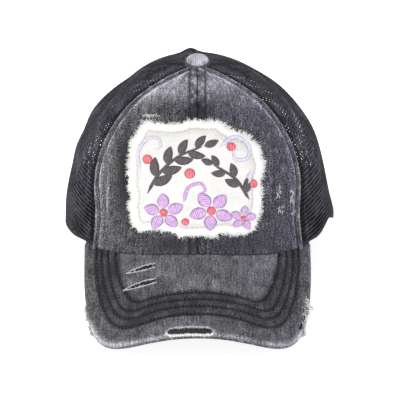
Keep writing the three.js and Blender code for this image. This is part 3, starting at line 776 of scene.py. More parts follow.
# Worn and dark places of the front: across and above, their half sizes, and the wear that they add
FRONT_WEAR = (
    (-36, 126, 22, 15, 0.36),
    (-14, 136, 9, 22, 0.24),
    (14, 138, 14, 16, 0.32),
    (38, 118, 26, 14, 0.16),
    (0, 140, 3.6, 9, 0.3),
    (0, 106, 14, 11, -0.18),
    (-20, 112, 12, 9, -0.1),
    (-52, 58, 7, 34, -0.22),
    (-68, 60, 4, 45, 0.08),
    (-14, 8, 26, 9, -0.16),
    (28, 8, 24, 9, -0.1),
    (56, 84, 14, 30, 0.04),
    (-74, 92, 10, 24, 0.12),
    (3, 6, 4, 6, 0.12),
)


def front_surface(azimuth, share):
    """Places, relief, wear and painted shade of the cotton front."""
    radius = radius_at(azimuth, share)
    across = azimuth * DEGREE * radius
    above = cloth_height(0.0, share)
    from_seam = (seam_azimuth(share) - np.abs(azimuth)) * DEGREE * radius
    from_stitch = from_seam - SEAM_STITCH
    side = np.abs(across)
    from_row = side - CENTRE_STITCH
    crease = bell(across + 67.5 - 0.03 * (above - 35), 0.9) * bell(above - 42, 16)
    relief = 0.5 * smooth_step(0.8, -1.2, from_row) - 0.75 * bell(across, 0.8) - 0.4 * bell(from_row, 0.7)
    relief += 0.16 * np.sin(above / 1.15 + 3 * noise(across, above, 12, 3)) * bell(from_row - 2.5, 3)
    relief += 0.5 * bell(from_stitch - 2.1, 1.3) - 0.55 * bell(from_stitch, 0.6)
    relief += 0.35 * noise(across, above, 26, 5) + 0.18 * noise(across, above, 9, 6)
    relief += 0.5 * crease - 0.12 * bell(above, 1.0)
    wear = 0.3 + 0.2 * bell(from_seam, 7) + 0.22 * bell(from_seam - 1.0, 0.9) + 0.35 * crease
    # Lighter towards the top of the crown, and along each stitch row.
    wear += 0.12 * smooth_step(104, 150, above) + 0.07 * bell(from_row - 2.2, 1.5)
    wear += 0.16 * bell(from_stitch - 2.1, 1.2) * smooth_step(0, 60, above)
    wear -= 0.05 * smooth_step(20, 60, across)
    near_top = smooth_step(0.74, 0.9, share) * smooth_step(5, 9, side)
    wear += 0.22 * noise(azimuth / 3.2, share * 5, 1, 7) * near_top
    for at, level, wide, high, strength in FRONT_WEAR:
        wear += strength * bell(across - at, wide) * bell(above - level, high)
    top_strip = smooth_step(0.5, -0.8, from_row) * smooth_step(100, 118, above)
    wear += top_strip * (0.28 * noise(across * 2, above, 5, 8) - 0.02)
    # Painted shade in the grooves of the centre seam, of the stitch rows beside it and of the seam's
    # topstitching, and along the rim where the crown meets the peak.
    shade = 0.8 * bell(across, 0.7) + 0.8 * bell(from_row, 0.75) + bell(from_stitch, 0.6)
    return across, above, relief, wear, np.clip(shade + 0.6 * bell(above, 1.0), 0, 1)


def front_panel(side, name):
    columns, rows = 100, 200
    share = np.linspace(0, TOP_SHARE, rows + 1)[:, None]
    low = length_angle(CLOSED_GAP, 0, share)
    high = seam_azimuth(share) - length_angle(CLOSED_GAP, seam_azimuth(share), share)
    azimuth = side * mix(low, high, np.linspace(0, 1, columns + 1))
    across, above, relief, wear, shade = front_surface(azimuth, share)
    outer, inner = (crown_point(azimuth, share, offset) for offset in (relief, -COTTON_WALL))
    make_shell("cotton_front_" + name, COTTON, "washed_cotton", "front_panel_" + name, outer, inner,
               stacked(across, above, 0), wear, shade, flip=side < 0)


def front_stitching():
    share = np.linspace(0.012, 0.93, 400)
    starts = [(0, -1, CENTRE_STITCH), (seam_azimuth(share), 1, SEAM_STITCH)]
    lines = [side * (start - inward * length_angle(length, 20.0, share))
             for side in (-1, 1) for start, inward, length in starts]
    sew("front_topstitching", DARK_THREAD, "washed_cotton",
        [(*crown_row(line, share, -0.15), 2.1, 0.8, 0.5, 0.4) for line in lines])


def welt(side, name):
    """The raised ridge along the seam between cotton and net: a folded edge."""
    rows, columns = 260, 12
    share = np.linspace(*(r / ROWS_UP * TOP_SHARE for r in WELT_ROWS), rows + 1)[:, None]
    across = np.linspace(-0.5, 0.5, columns + 1)[None, :]
    seam = side * seam_azimuth(share)
    azimuth = seam + across * length_angle(WELT_WIDTH, seam, share)
    above = cloth_height(45.0, share)
    top = LAYER_GAP + WELT_THICKNESS * (1 - (2 * np.abs(across)) ** 3) ** 0.5
    top = top + 0.12 * noise(above, above * 0, 5, 11) + 0.1 * noise(above, across * 3, 2, 12)
    # Lighter towards the top.
    wear = 0.55 + 0.12 * smooth_step(90, 150, above) + 0.16 * noise(above, across * 3, 4, 13)
    # Painted shade: a dark line along the welt's cotton side, in the fold.
    wear = wear - 0.25 * bell(across * side + 0.32, 0.12)
    outer, inner = (crown_point(azimuth, share, offset) for offset in (top, LAYER_GAP - 0.2))
    # Painted shade along both edges of the welt, where it meets the cloth.
    make_shell("seam_ridge_" + name, COTTON, "washed_cotton", "front_seam_welt_" + name, outer, inner,
               stacked(across * WELT_WIDTH, above, 0), wear, 0.35 * bell(np.abs(across) - 0.5, 0.12))


# Net

RIB_PITCH = 3.0
RIB_WIDTH = 2.2
RIB_HEIGHT = 0.95
LINK_PITCH = 2.8
LINK_WIDTH = 1.65
LINK_HEIGHT = 0.8
NET_EDGE = 2.2
UNDER_BINDING = 1.6
GRAIN_SLOPE = 0.3
SEAM_SHADOW = 6.5


def in_opening(azimuth, share):
    """Whether a place of the crown lies in the ponytail opening, well clear of its binding."""
    across = np.abs(wrapped(azimuth - 180)) * DEGREE * radius_at(180.0, share)
    above = cloth_height(180.0, share)
    half = OPENING_WIDTH / 2 - UNDER_BINDING
    return np.where(above < OPENING_SPRING, across < half, np.hypot(across, above - OPENING_SPRING) < half)


def net_edge(piece, azimuth, share):
    """A narrow doubled edge of the net, over a grid of azimuths and shares."""
    outer, inner = (crown_point(azimuth, share, offset) for offset in (-0.12, -MESH_WALL + 0.1))
    piece.add_shell(outer, inner, stacked(azimuth * 1.5, share * MERIDIAN_LENGTH, 0), -0.25)


def rib_table(side, middle, low, high):
    """Height of the flat cloth's ribs over azimuths and shares: level low down, straight across the top."""
    azimuth = np.linspace(low, high, 150)[:, None]
    share = np.linspace(0, 1, 260)[None, :]
    shares, lengths = meridian_table(side * middle)
    reach = np.minimum.accumulate(radius_at(side * middle, shares))
    levels = np.maximum.accumulate(crown_point(side * middle, shares)[:, 2])
    z = crown_point(side * azimuth, share)[..., 2]
    level = np.interp(z, levels, lengths) + np.minimum(0, z - levels[0])
    beside = radius_at(side * azimuth, share) * np.cos((azimuth - middle) * DEGREE)
    across_top = np.interp(-beside, -reach, lengths)
    height = mix(level, across_top, smooth_step(0.42, 0.78, share))
    height = height - GRAIN_SLOPE * (azimuth - middle) * DEGREE * SIDE_REACH * (1 - 0.6 * share)
    return azimuth[:, 0], share[0], np.maximum.accumulate(height, 1)


def net_panel(side, start, end, name, node_name):
    """An open net between two seams: ribs run round the crown, dip to the front and are joined by links."""
    ends = [float(line(np.float64(t))) for t in (0, 0.3, 1) for line in (start, end)]
    middle = 0.5 * (ends[2] + ends[3])
    azimuths, shares, heights = rib_table(side, middle, min(ends) - 2, max(ends) + 2)
    stops = np.arange(-60, 61)
    piece = Piece()
    previous = None
    for k, base in enumerate(np.arange(heights.min() - RIB_PITCH, heights.max(), RIB_PITCH)):
        wander = base + 0.3 * noise(azimuths, azimuths * 0 + base, 7, 21)
        rib = np.array([np.interp(h, row, shares) for h, row in zip(wander, heights)])
        way = way_along(crown_point(side * azimuths, rib, -MESH_WALL / 2))
        along = stops * LINK_PITCH / 2 + np.interp(middle, azimuths, way)
        azimuth = np.interp(along, way, azimuths)
        share = np.interp(azimuth, azimuths, rib)
        left, right = start(share), end(share)
        inside = (along > 0) & (along < way[-1]) & (share > 0.008) & (share < TOP_SHARE)
        inside &= azimuth > left + length_angle(0.5, left, share)
        inside &= azimuth < right - length_angle(0.5, right, share)
        inside &= ~in_opening(side * azimuth, share)
        points, up = crown_row(side * azimuth, share, -MESH_WALL / 2)
        above = share * MERIDIAN_LENGTH
        tone_highlight_and_shadow = 0.14 * noise(along, above, 16, 22) + 0.12 * noise(along, above, 3, 23) - 0.04
        # Painted highlight: random stretches of each rib are lighter, where ribs catch the light.
        tone_highlight_and_shadow = tone_highlight_and_shadow + 0.3 * smooth_step(0.15, 0.7, noise(along, along * 0 + 2.6 * k, 6, 24))
        # Painted shadow: the ribs darken within SEAM_SHADOW of the cotton, where the black tape behind the
        # net lets no light through.
        beside_cotton = (azimuth - seam_azimuth(share)) * DEGREE * radius_at(side * azimuth, share)
        tone_highlight_and_shadow = tone_highlight_and_shadow - 0.6 * smooth_step(SEAM_SHADOW + 1, SEAM_SHADOW - 1, beside_cotton)
        cloth = stacked(along, above, 0)
        bounds = np.flatnonzero(np.diff(np.concatenate([[0], inside.astype(int), [0]])))
        for first, last in zip(bounds[::2], bounds[1::2]):
            if last - first < 2:
                continue
            run = slice(first, last)
            width = RIB_WIDTH * (0.96 + 0.1 * np.cos(np.pi * (stops[run] + k)))
            ring, faces = strands(points[None, run], up[None, run], width[None], RIB_HEIGHT)
            piece.add(ring, faces, np.repeat(cloth[run], 4, 0), np.repeat(tone_highlight_and_shadow[run], 4))
        if previous is not None:
            both = inside & previous[1] & ((stops + k) % 2 == 0)
            if both.any():
                paths = np.stack([previous[0][both], points[both]], 1) - up[both][:, None] * 0.12
                ring, faces = strands(paths, up[both][:, None], LINK_WIDTH, LINK_HEIGHT)
                piece.add(ring, faces, np.repeat(cloth[both], 8, 0), np.repeat(tone_highlight_and_shadow[both] - 0.1, 8))
        previous = (points, inside)
    rows = np.linspace(0, TOP_SHARE, 121)[:, None]
    for line, inward in ((start, 1), (end, -1)):
        seam = line(rows)
        near, far = (seam + inward * length_angle(width, seam, rows) for width in (CLOSED_GAP, NET_EDGE))
        kept = np.flatnonzero(~in_opening(side * seam, rows)[:, 0])
        order = (near, far) if inward * side > 0 else (far, near)
        net_edge(piece, side * mix(*order, np.linspace(0, 1, 4))[kept], rows[kept])
    foot = side * np.linspace(ends[0] + 0.05, ends[1] - 0.05, 160)[::side][None, :]
    net_edge(piece, foot[:, ~in_opening(foot, 0.0)[0]], np.linspace(0, 0.017, 4)[:, None])
    piece.make(name, NET, "net", node_name)


# Tapes, sweatband, binding and straps

def tape(azimuth_of, rows, name, node_name):
    """A sewn tape along the inside of a seam, with a stitch row near each edge."""
    share = np.linspace(rows[0], rows[1], 161)[:, None] / ROWS_UP * TOP_SHARE
    across = np.linspace(-0.5, 0.5, 11)[None, :]
    seam = azimuth_of(share)
    azimuth = seam + across * length_angle(TAPE_WIDTH, seam, share)
    edge = (2 * np.abs(across)) ** 6 * TAPE_THICKNESS * 0.4
    ripple = 0.08 * np.sin(share * 420)
    outer = crown_point(azimuth, share, TAPE_FACE - edge)
    inner = crown_point(azimuth, share, TAPE_FACE - TAPE_THICKNESS + edge + ripple)
    make_shell(name, TAPE, "tape", node_name, outer, inner,
               stacked(across * TAPE_WIDTH, share * MERIDIAN_LENGTH, 0))
    at = np.linspace(share[0, 0] + 0.01, share[-1, 0] - 0.01, 400)
    stitched = []
    for place in (-0.34, 0.34):
        line = azimuth_of(at) + place * length_angle(TAPE_WIDTH, azimuth_of(at), at)
        path, up = crown_row(line, at, TAPE_FACE - TAPE_THICKNESS)
        stitched.append((path, -up, 2.4, 0.8, 0.45, 0.35))
    sew(name + "_stitching", GREY_THREAD, "tape", stitched)


def sweatband():
    stitch_level = 0.86
    top = float(cloth_place(90.0, 0, SWEATBAND_HEIGHT)[1])
    level = np.linspace(0, 1, 19)[:, None]
    share = level * top
    end = 180 - length_angle(OPENING_WIDTH / 2, 180.0, share)
    azimuth = mix(-end, end, np.linspace(0, 1, 241))
    pad = SWEATBAND_THICKNESS * (0.62 + 0.38 * np.sin(level * math.pi) ** 0.5)
    pucker = 0.12 * np.sin(azimuth * 2.2) * bell(level - stitch_level - 0.02, 0.1)
    outer, inner = (crown_point(azimuth, share, TAPE_FACE - depth) for depth in (0, pad - pucker))
    # Painted shade along the stitch line, where the band puckers.
    make_shell("padded_sweatband", TAPE, "tape", "sweatband", outer, inner,
               stacked(azimuth * DEGREE * SIDE_REACH, share * MERIDIAN_LENGTH, 0), 0.0,
               bell(level - stitch_level, 0.03))
    share = top * stitch_level
    azimuth = np.linspace(-1, 1, 900) * (180 - length_angle(OPENING_WIDTH / 2 + 2, 180.0, share))
    path, up = crown_row(azimuth, share, TAPE_FACE - SWEATBAND_THICKNESS * 0.85)
    sew("sweatband_stitching", GREY_THREAD, "tape", [(path, -up, 2.6, 0.9, 0.5, 0.4)])


# Share of the arch's length that each of its straight legs takes
LEG_SHARE = 0.25


def arch_point(way, narrower):
    half = OPENING_WIDTH / 2 - narrower
    turn = math.pi * (1 - (way - LEG_SHARE) / (1 - 2 * LEG_SHARE))
    left, right = way < LEG_SHARE, way > 1 - LEG_SHARE
    across = np.where(left, -half, np.where(right, half, half * np.cos(turn)))
    leg = np.where(left, way, 1 - way) / LEG_SHARE * OPENING_SPRING
    return across, np.where(left | right, leg, OPENING_SPRING + half * np.sin(turn))


def opening_binding():
    """The bound edge of the ponytail opening: a folded tape with a bead of cloth and a stitch row."""
    stitch_place = 0.78
    ways = np.linspace(0, 1, 261)[None, :]
    width = np.linspace(0, 1, 13)[:, None]
    across, above = arch_point(ways, mix(BINDING_WIDTH, SEAM_GAP, width))
    middle = -MESH_WALL / 2
    half = BINDING_THICKNESS / 2 * (1 - np.abs(2 * width - 1) ** 3.5) ** 0.5 + 0.12
    pucker = 0.1 * np.sin(ways * 500) * bell(width - stitch_place, 0.1)
    half = np.minimum(half + pucker, BINDING_THICKNESS / 2)
    outer, inner = (cloth_point(180.0, across, above, middle + face * half) for face in (1, -1))
    # Painted shade along the stitch line.
    make_shell("opening_edge_binding", TAPE, "tape", "opening_binding", outer, inner,
               stacked(ways * 240, width * BINDING_WIDTH, 0), 0.0, bell(width - stitch_place, 0.05))
    line = arch_point(np.linspace(0.01, 0.99, 700), mix(BINDING_WIDTH, SEAM_GAP, stitch_place))
    row = crown_row(*cloth_place(180.0, *line), middle + BINDING_THICKNESS * 0.42)
    sew("opening_edge_stitching", GREY_THREAD, "tape", [(*row, 2.4, 0.8, 0.5, 0.4)])


def closure_strap(side, climbs, name, node_name):
    """A webbing strap of the closure, sewn down at one end with a box of stitches."""
    sewn_end = OPENING_WIDTH / 2 + STRAP_SEWN_LENGTH
    free_end = -STRAP_OVERLAP / 2
    climb_end = STRAP_THICKNESS - free_end
    face = (BINDING_THICKNESS - MESH_WALL) / 2

    def seat(across):
        climb = 1 - smooth_step(climb_end, climb_end + STRAP_CLIMB_LENGTH, across) if climbs else 0 * across
        return face + LAYER_GAP + climb * (STRAP_THICKNESS + LAYER_GAP)

    along = np.linspace(free_end, sewn_end, 81)[::side][None, :]
    level = np.linspace(0, 1, 21)[:, None]
    from_end = 2 * (along - free_end) / (sewn_end - free_end) - 1
    rounding = np.maximum(np.abs(2 * level - 1) ** 14, np.abs(from_end) ** 40)
    half = STRAP_THICKNESS * (1 - 0.45 * rounding) / 2
    middle = seat(along) + STRAP_THICKNESS / 2
    above = level * STRAP_HEIGHT
    outer, inner = (cloth_point(180.0, side * along, above, middle + half * k) for k in (1, -1))
    make_shell(name, WEBBING, "strap", node_name, outer, inner, stacked(along, above, 0))
    far, near, high, low = sewn_end - 2, sewn_end - 10, STRAP_HEIGHT - 2.5, 2.5
    box = [(far, low), (far, high), (near, high), (near, low), (far, low)]
    stitched = []
    for start, end in zip(box[:-1], box[1:]):
        across, above = (mix(start[k], end[k], np.linspace(0, 1, 60)) for k in (0, 1))
        row = crown_row(*cloth_place(180.0, side * across, above), seat(across) + STRAP_THICKNESS)
        stitched.append((*row, 2.4, 0.7, 0.55, 0.4))
    sew(name + "_stitching", GREY_THREAD, "strap", stitched)


# Button

BUTTON_TIP = 12
BUTTON_CLEARANCE = 0.2
BUTTON_BULGE = 1.04
BUTTON_CROWNING = 1.36


def top_button():
    """The covered button: a worn dome with gathers on its shoulder, a foot that follows the crown, and
    painted shadow round that foot.
    """
    reach = [TOP_HOLE_RADIUS, (TOP_HOLE_RADIUS + BUTTON_RADIUS) / 2, BUTTON_RADIUS]
    left, right, back, front = beside_apex((90.0, -90.0, 180.0, 0.0), [BUTTON_RADIUS])
    upright = unit(np.cross(left - right, back - front))
    arm = beside_apex(np.arange(0, 360, 15.0), reach) - APEX
    height = arm @ upright
    flat = np.linalg.norm(arm - height[:, None] * upright, axis=1)
    seat = (height - BUTTON_HOLLOW * (1 - flat / BUTTON_RADIUS)).max() + LAYER_GAP
    tip = BUTTON_TIP * DEGREE
    tipped = upright * math.cos(tip) + unit(np.array([0, -1.0, 0]) + upright[1] * upright) * math.sin(tip)
    turn = np.linspace(0, 2 * math.pi, 96, endpoint=False)[None, :]
    tilt = np.linspace(0, 1, 31)[:, None] * math.pi / 2
    gathers = np.sin(turn * 17 + 2 * noise(turn * 4, turn * 0, 1, 31)) * np.cos(tilt) ** 4
    radius = BUTTON_RADIUS * (BUTTON_BULGE * np.cos(tilt) ** 0.8) * (1 + 0.012 * gathers)
    radius = np.maximum(radius, 0.05)
    x, y = radius * np.cos(turn), radius * np.sin(turn)
    high = mix(BUTTON_EDGE, BUTTON_HEIGHT * BUTTON_CROWNING, np.sin(tilt)) + 0.12 * noise(x, y, 3, 32)
    foot = 0.9 * BUTTON_RADIUS
    around = np.degrees(np.arctan2(np.cos(turn[0]), -np.sin(turn[0])))
    ground = (beside_apex(around, [foot]) - APEX) @ upright + BUTTON_CLEARANCE
    low = np.minimum(ground * np.minimum(1, radius / foot) ** 2 - seat, 0.15)

    def place(scale, level, up):
        right = unit(np.array([1.0, 0, 0]) - up[0] * up)
        ahead = np.cross(up, right)
        return APEX + scale * (right * x[..., None] + ahead * y[..., None]) + up * (seat + level)[..., None]

    # Lighter towards the back of the upper shoulder and darker towards its front.
    wear = 0.2 + 0.15 * np.sin(turn) * bell(tilt - 0.85, 0.4) + 0.25 * noise(x, y, 4, 33)
    wear = wear + 0.2 * np.sin(turn * 31 + 3 * noise(turn * 5, turn * 0, 1, 34)) * bell(tilt - 0.75, 0.3)
    # Painted shadow round the button's foot, where it meets the crown.
    shade = np.clip(smooth_step(0.66, 0.4, tilt) * (0.85 + 0.1 * gathers), 0, 1)
    make_shell("covered_button", BUTTON_CLOTH, "button_cotton", "top_button", place(1, high, tipped),
               place(0.94, low, upright), stacked(x, y, 0), wear, shade, closed=True)


# Patch

PATCH_SEAM = 6.2


def torn_outline(count=440):
    """The patch's outline, with small tears between the corners of the solid, and its outward directions."""
    corners = np.array(PATCH_EDGE) * (PATCH_WIDTH, PATCH_HEIGHT) + PATCH_CENTRE
    closed = np.vstack([corners, corners[:1]])
    even = np.linspace(0, way_along(closed)[-1], count, endpoint=False)
    path = smoothed(at_way(closed, even), 6)
    outward = unit(path - np.roll(path, 1, 0))[:, ::-1] * (1, -1)
    rough = 0.9 * noise(even, even * 0, 1.8, 41) + 0.9 * noise(even, even * 0, 5, 42)
    return path + outward * rough[:, None], outward


OUTLINE, OUTWARD = torn_outline()


def in_parts(places):
    return np.array_split(places, 1 + len(places) // 4000)


def patch_depth(across, above):
    """How far inside the outline a place lies."""
    parts = in_parts(np.stack([np.ravel(across), np.ravel(above)], -1))
    nearest = [np.linalg.norm(part[:, None] - OUTLINE, axis=2).min(1) for part in parts]
    return np.concatenate(nearest).reshape(np.shape(across))


def patch_height(across, above):
    """Offset of the patch's face from the crown's surface: thin at its torn edge, puffed inside its seam."""
    depth = patch_depth(across, above)
    height = PATCH_GAP + 0.35 + (PATCH_THICKNESS - 0.35) * smooth_step(0, 2.5, depth)
    height += 0.5 * smooth_step(PATCH_SEAM, PATCH_SEAM + 7, depth) - 0.45 * bell(depth - PATCH_SEAM, 1.1)
    height += 0.22 * noise(across, above, 8, 43) * smooth_step(0, 6, depth)
    return height + 0.12 * noise(across, above, 3, 44)


def front_patch():
    share = np.linspace(0, 1, 45)[:, None] ** 0.8
    share[0] = 0.004
    across, above = (mix(PATCH_CENTRE[k], OUTLINE[:, k], share) for k in (0, 1))
    outer, inner = (cloth_point(0.0, across, above, top) for top in (patch_height(across, above), PATCH_GAP))
    depth = patch_depth(across, above)
    wear = 0.08 + 0.3 * smooth_step(PATCH_SEAM, PATCH_SEAM - 3, depth)
    wear = wear + 0.07 * noise(across, above, 12, 45) * smooth_step(PATCH_SEAM, PATCH_SEAM + 2, depth)
    # Painted shade along the sunken seam inside the torn edge, with a fainter line inside it.
    shade = 0.3 * bell(depth - PATCH_SEAM - 0.4, 0.6) + 0.16 * bell(depth - PATCH_SEAM - 2.6, 0.5)
    make_shell("canvas_patch", CANVAS, "patch_canvas", "front_patch", outer, inner, stacked(across, above, 0),
               wear, shade, closed=True, flip=True)


def patch_fringe():
    """Tufts of loose threads round the torn edge. Each tuft leans its own way."""
    rng = np.random.default_rng(51)
    tufts, fibres = 330, 9
    count = tufts * fibres
    tuft = rng.integers(0, len(OUTLINE), tufts)
    lean = rng.normal(0, 0.5, tufts)
    length = rng.uniform(1.2, 3.9, tufts)
    index = (np.repeat(tuft, fibres) + rng.integers(-4, 5, count)) % len(OUTLINE)
    lean = np.repeat(lean, fibres) + rng.normal(0, 0.35, count)
    length = (np.repeat(length, fibres) * rng.uniform(0.6, 1.15, count))[:, None]
    start = OUTLINE[index] - OUTWARD[index] * rng.uniform(0.2, 3.4, count)[:, None]
    heading = np.arctan2(OUTWARD[index, 1], OUTWARD[index, 0]) + lean
    way = np.linspace(0, 1, 3)[None, :]
    bend = heading[:, None] + rng.normal(0, 0.35, count)[:, None] * way
    across, above = start[:, :1] + length * way * np.cos(bend), start[:, 1:] + length * way * np.sin(bend)
    base = patch_height(start[:, 0], start[:, 1])
    lift = base[:, None] - 0.15 + rng.uniform(-0.25, 0.7, count)[:, None] * way**1.5
    paths, up = crown_row(*cloth_place(0.0, across, above), np.maximum(lift, 0.35))
    thick = rng.uniform(0.28, 0.5, count)[:, None] * (1 - 0.5 * way)
    piece = Piece()
    piece.add(*strands(paths, up, thick, thick))
    piece.make("patch_fringe", FLUFF, "patch_canvas")


def patch_stitching():
    inset = smoothed(OUTLINE - OUTWARD * PATCH_SEAM, 30)
    line = np.vstack([inset, inset[:1]]).T
    row = crown_row(*cloth_place(0.0, *line), patch_height(*line) + 0.05)
    sew("patch_outline_stitching", BEIGE_THREAD, "patch_canvas", [(*row, 2.4, 0.7, 0.6, 0.45)])


def raised(piece, across, above, rise, cloth, shade, **how):
    """Satin stitch that stands up from the patch's face."""
    base = patch_height(across, above)
    outer, inner = (cloth_point(0.0, across, above, base + height) for height in (rise, -0.25))
    piece.add_shell(outer, inner, cloth, 0.0, shade, **how)


def satin(piece, path, half_width, height):
    """A band of satin stitch along a path on the patch, with a rounded section."""
    normal = unit(np.gradient(path, axis=0))[:, ::-1] * (-1, 1)
    half_width = half_width[:, None]
    t = np.linspace(-1, 1, 9)[None, :]
    across, above = (path[:, k, None] - normal[:, k, None] * half_width * t for k in (0, 1))
    round_top = height * np.minimum(1, half_width / 1.4) * np.sqrt(np.maximum(0, 1 - t**2) + 0.02)
    cloth = stacked(way_along(path)[:, None] + 0.7 * half_width * t, half_width * t, 0)
    # Painted shade round the satin's edges, where it meets the canvas.
    raised(piece, across, above, round_top, cloth, 0.85 * np.abs(t) ** 6)


def leaf(piece, root, angle, length, width, bend=0.25):
    """A pointed leaf or petal of satin stitch."""
    way = np.linspace(0, 1, 22)
    turn = math.radians(angle) + bend * (way - 0.3)
    walk = stacked(np.cumsum(np.cos(turn)), np.cumsum(np.sin(turn)))
    path = np.array(root) + walk * length / (len(way) - 1)
    satin(piece, path, np.maximum(width / 2 * np.sin(way**0.85 * math.pi) ** 0.7, 0.12), 0.9)


def stem(piece, points, width, height=0.7, count=60):
    path = smooth_path(points, count)
    way = np.linspace(0, 1, count)
    blunt = np.minimum(1, 8 * np.minimum(way, 1 - way) + 0.15)
    satin(piece, path, width / 2 * (1 - 0.5 * way**3) * blunt, height)
    return path


def berry(piece, centre, radius, height=1.3):
    """A round satin-stitched berry."""
    turn = np.linspace(0, 2 * math.pi, 28, endpoint=False)[None, :]
    ring = np.linspace(0.02, 1, 9)[:, None]
    across, above = centre[0] + radius * ring * np.cos(turn), centre[1] + radius * ring * np.sin(turn)
    dome = height * np.sqrt(1 - ring**2 + 0.01)
    # Painted shade round the berry's edge, where it meets the canvas.
    raised(piece, across, above, dome, stacked(across, above, 0), 0.75 * ring**6, closed=True, flip=True)


def sprig(piece, points, leaves, length, width):
    """A stem with leaves that alternate along it and one at its tip."""
    path = stem(piece, points, 2.3, 0.9)

    def heading(first, last):
        return math.degrees(math.atan2(*(path[last] - path[first])[::-1]))

    for k, way in enumerate(np.linspace(0.16, 0.9, leaves)):
        i = int(way * (len(path) - 1))
        side = 1 if k % 2 else -1
        size = 1 - 0.25 * way
        leaf(piece, path[i], heading(i - 1, i + 1) + side * 42, length * size, width * size, side * -0.5)
    leaf(piece, path[-1], heading(-3, -1), length * 0.7, width * 0.75)


def blossom(petals, centre_piece, centre, radius, first, width):
    """Five petals round a berry."""
    for angle in range(first, first + 360, 72):
        turn = math.radians(angle)
        root = np.array(centre) + radius * 0.2 * np.array([math.cos(turn), math.sin(turn)])
        leaf(petals, root, angle, radius * 0.85, width, 0.1)
    berry(centre_piece, centre, radius * 0.22, 1.5)


def embroidery():
    dark, lilac, pale, coral = Piece(), Piece(), Piece(), Piece()
    sprig(dark, [(-33, 46), (-25, 60), (-12, 72), (4, 79)], 8, 14.6, 7)
    sprig(dark, [(34, 42), (26, 55), (17, 62), (10, 66)], 5, 11.6, 6.2)
    blossom(lilac, coral, (-22, 33), 12.5, 20, 8)
    blossom(lilac, coral, (9, 34), 13.5, 50, 8.6)
    blossom(lilac, coral, (30, 29), 8.5, 10, 5.6)
    stem(lilac, [(-9, 40), (-6, 50), (2, 53), (5, 48), (1, 46)], 2.6)
    stem(pale, [(14, 78), (24, 86), (34, 80), (33, 71), (25, 70), (24, 76), (29, 77)], 3.0, count=80)
    stem(pale, [(-38, 62), (-40, 74), (-34, 84), (-26, 85), (-24, 79), (-29, 77)], 2.6, count=80)
    leaf(pale, (36, 62), 250, 12, 4.4)
    for *centre, radius in ((-33, 70, 3.4), (22, 79, 3.2), (-5, 60, 3.6), (37, 53, 3.0), (-8, 26, 2.6)):
        berry(coral, centre, radius)
    for piece, name, material in ((dark, "sprigs", CHARCOAL), (lilac, "blossoms", LILAC),
                                  (pale, "scrolls", PALE_LILAC), (coral, "berries", CORAL)):
        piece.make("embroidered_" + name, material, "patch_canvas")


# Peak

# Stitch rows of the peak: half width at the root, how much the sides draw in, way forward, corner radius
STITCH_ROWS = (
    (59.0, 0.0074, 30.2, 6),
    (64.4, 0.0056, 35.8, 9),
    (69.2, 0.0052, 41.6, 13),
    (73.3, 0.0045, 48.2, 17),
)
ROW_ROOT = -10
ROW_START = -22
PEAK_TUCK = 2.2
ROW_BOW = 1.8 / 35**2
EDGE_TEAR_DEPTH = 4.4


def stitch_row(half_width, draw, forward, corner):
    """One stitch row in x and s, from the root on one side round the front to the other."""
    def side_x(s):
        return half_width - draw * np.maximum(0, s - ROW_ROOT) ** 2
    corner_s = forward + ROW_BOW * side_x(forward) ** 2 * 0.6
    corner_x = side_x(corner_s)
    s = np.linspace(ROW_START, corner_s - corner, 60)
    side = stacked(side_x(s), s)
    t = np.linspace(0, 1, 30)[1:, None]
    end = np.array([corner_x - corner, forward + ROW_BOW * (corner_x - corner) ** 2])
    turn = (1 - t) ** 2 * side[-1] + 2 * t * (1 - t) * np.array([corner_x, corner_s]) + t**2 * end
    x = np.linspace(end[0], 0, 60)[1:]
    half = np.vstack([side, turn, stacked(x, forward + ROW_BOW * x**2)])
    return even_path(np.vstack([half, half[-2::-1] * (-1, 1)]), 500)


ROW_PATHS = [stitch_row(*row) for row in STITCH_ROWS]


def row_distance(x, s, path):
    """Distance of places from a stitch row, positive on the crown's side of it and negative beyond."""
    tangent = np.gradient(path, axis=0)
    distances = []
    for part in in_parts(np.stack([np.ravel(x), np.ravel(s)], -1)):
        away = part[:, None] - path[None]
        nearest = (away**2).sum(2).argmin(1)
        offset, ahead = away[np.arange(len(part)), nearest], tangent[nearest]
        inside = ahead[:, 0] * offset[:, 1] - ahead[:, 1] * offset[:, 0] > 0
        distances.append(np.linalg.norm(offset, axis=1) * np.where(inside, 1, -1))
    return np.concatenate(distances).reshape(np.shape(x))


def tear_half(along, wide):
    """Half the width of a tear at a share of its half length: blunt at one end and tapering to the other."""
    along = np.clip(along, -1, 1)
    return 0.58 * wide * np.maximum(0.04, (1 - along) ** 0.3 * (1 + along) ** 0.7 / 1.2)


def slot_half(along, wide):
    """The same for the slot at the peak's front, which is square at both ends."""
    return 0.68 * wide * np.maximum(0.04, 1 - np.clip(along, -1, 1) ** 10) ** 0.5


def tear_place(x, s, tear):
    """Places along and across a tear, as shares of its half length and of its half width there."""
    at_x, at_s, long, wide, turn = tear
    sine, cosine = math.sin(turn * DEGREE), math.cos(turn * DEGREE)
    along = 2 * ((x - at_x) * cosine - (s - at_s) * sine) / long
    across = (x - at_x) * sine + (s - at_s) * cosine
    return along, across / (slot_half if tear is SLOT else tear_half)(along, wide)


def from_tear(along, across, tear):
    """x and s of a place given along a tear, as a share of its half length, and across it, in mm."""
    at_x, at_s, long, _, turn = tear
    sine, cosine = math.sin(turn * DEGREE), math.cos(turn * DEGREE)
    along = along * long / 2
    return at_x + along * cosine + across * sine, at_s - along * sine + across * cosine


def edge_tear(x, s, edge_distance):
    """How deep a place lies in the tear along the peak's left edge, from 0 to 1."""
    along = smooth_step(20, 23, s) * smooth_step(41, 38, s) * (x > 0)
    return along * bell(edge_distance - EDGE_TEAR_DEPTH, 1.5)


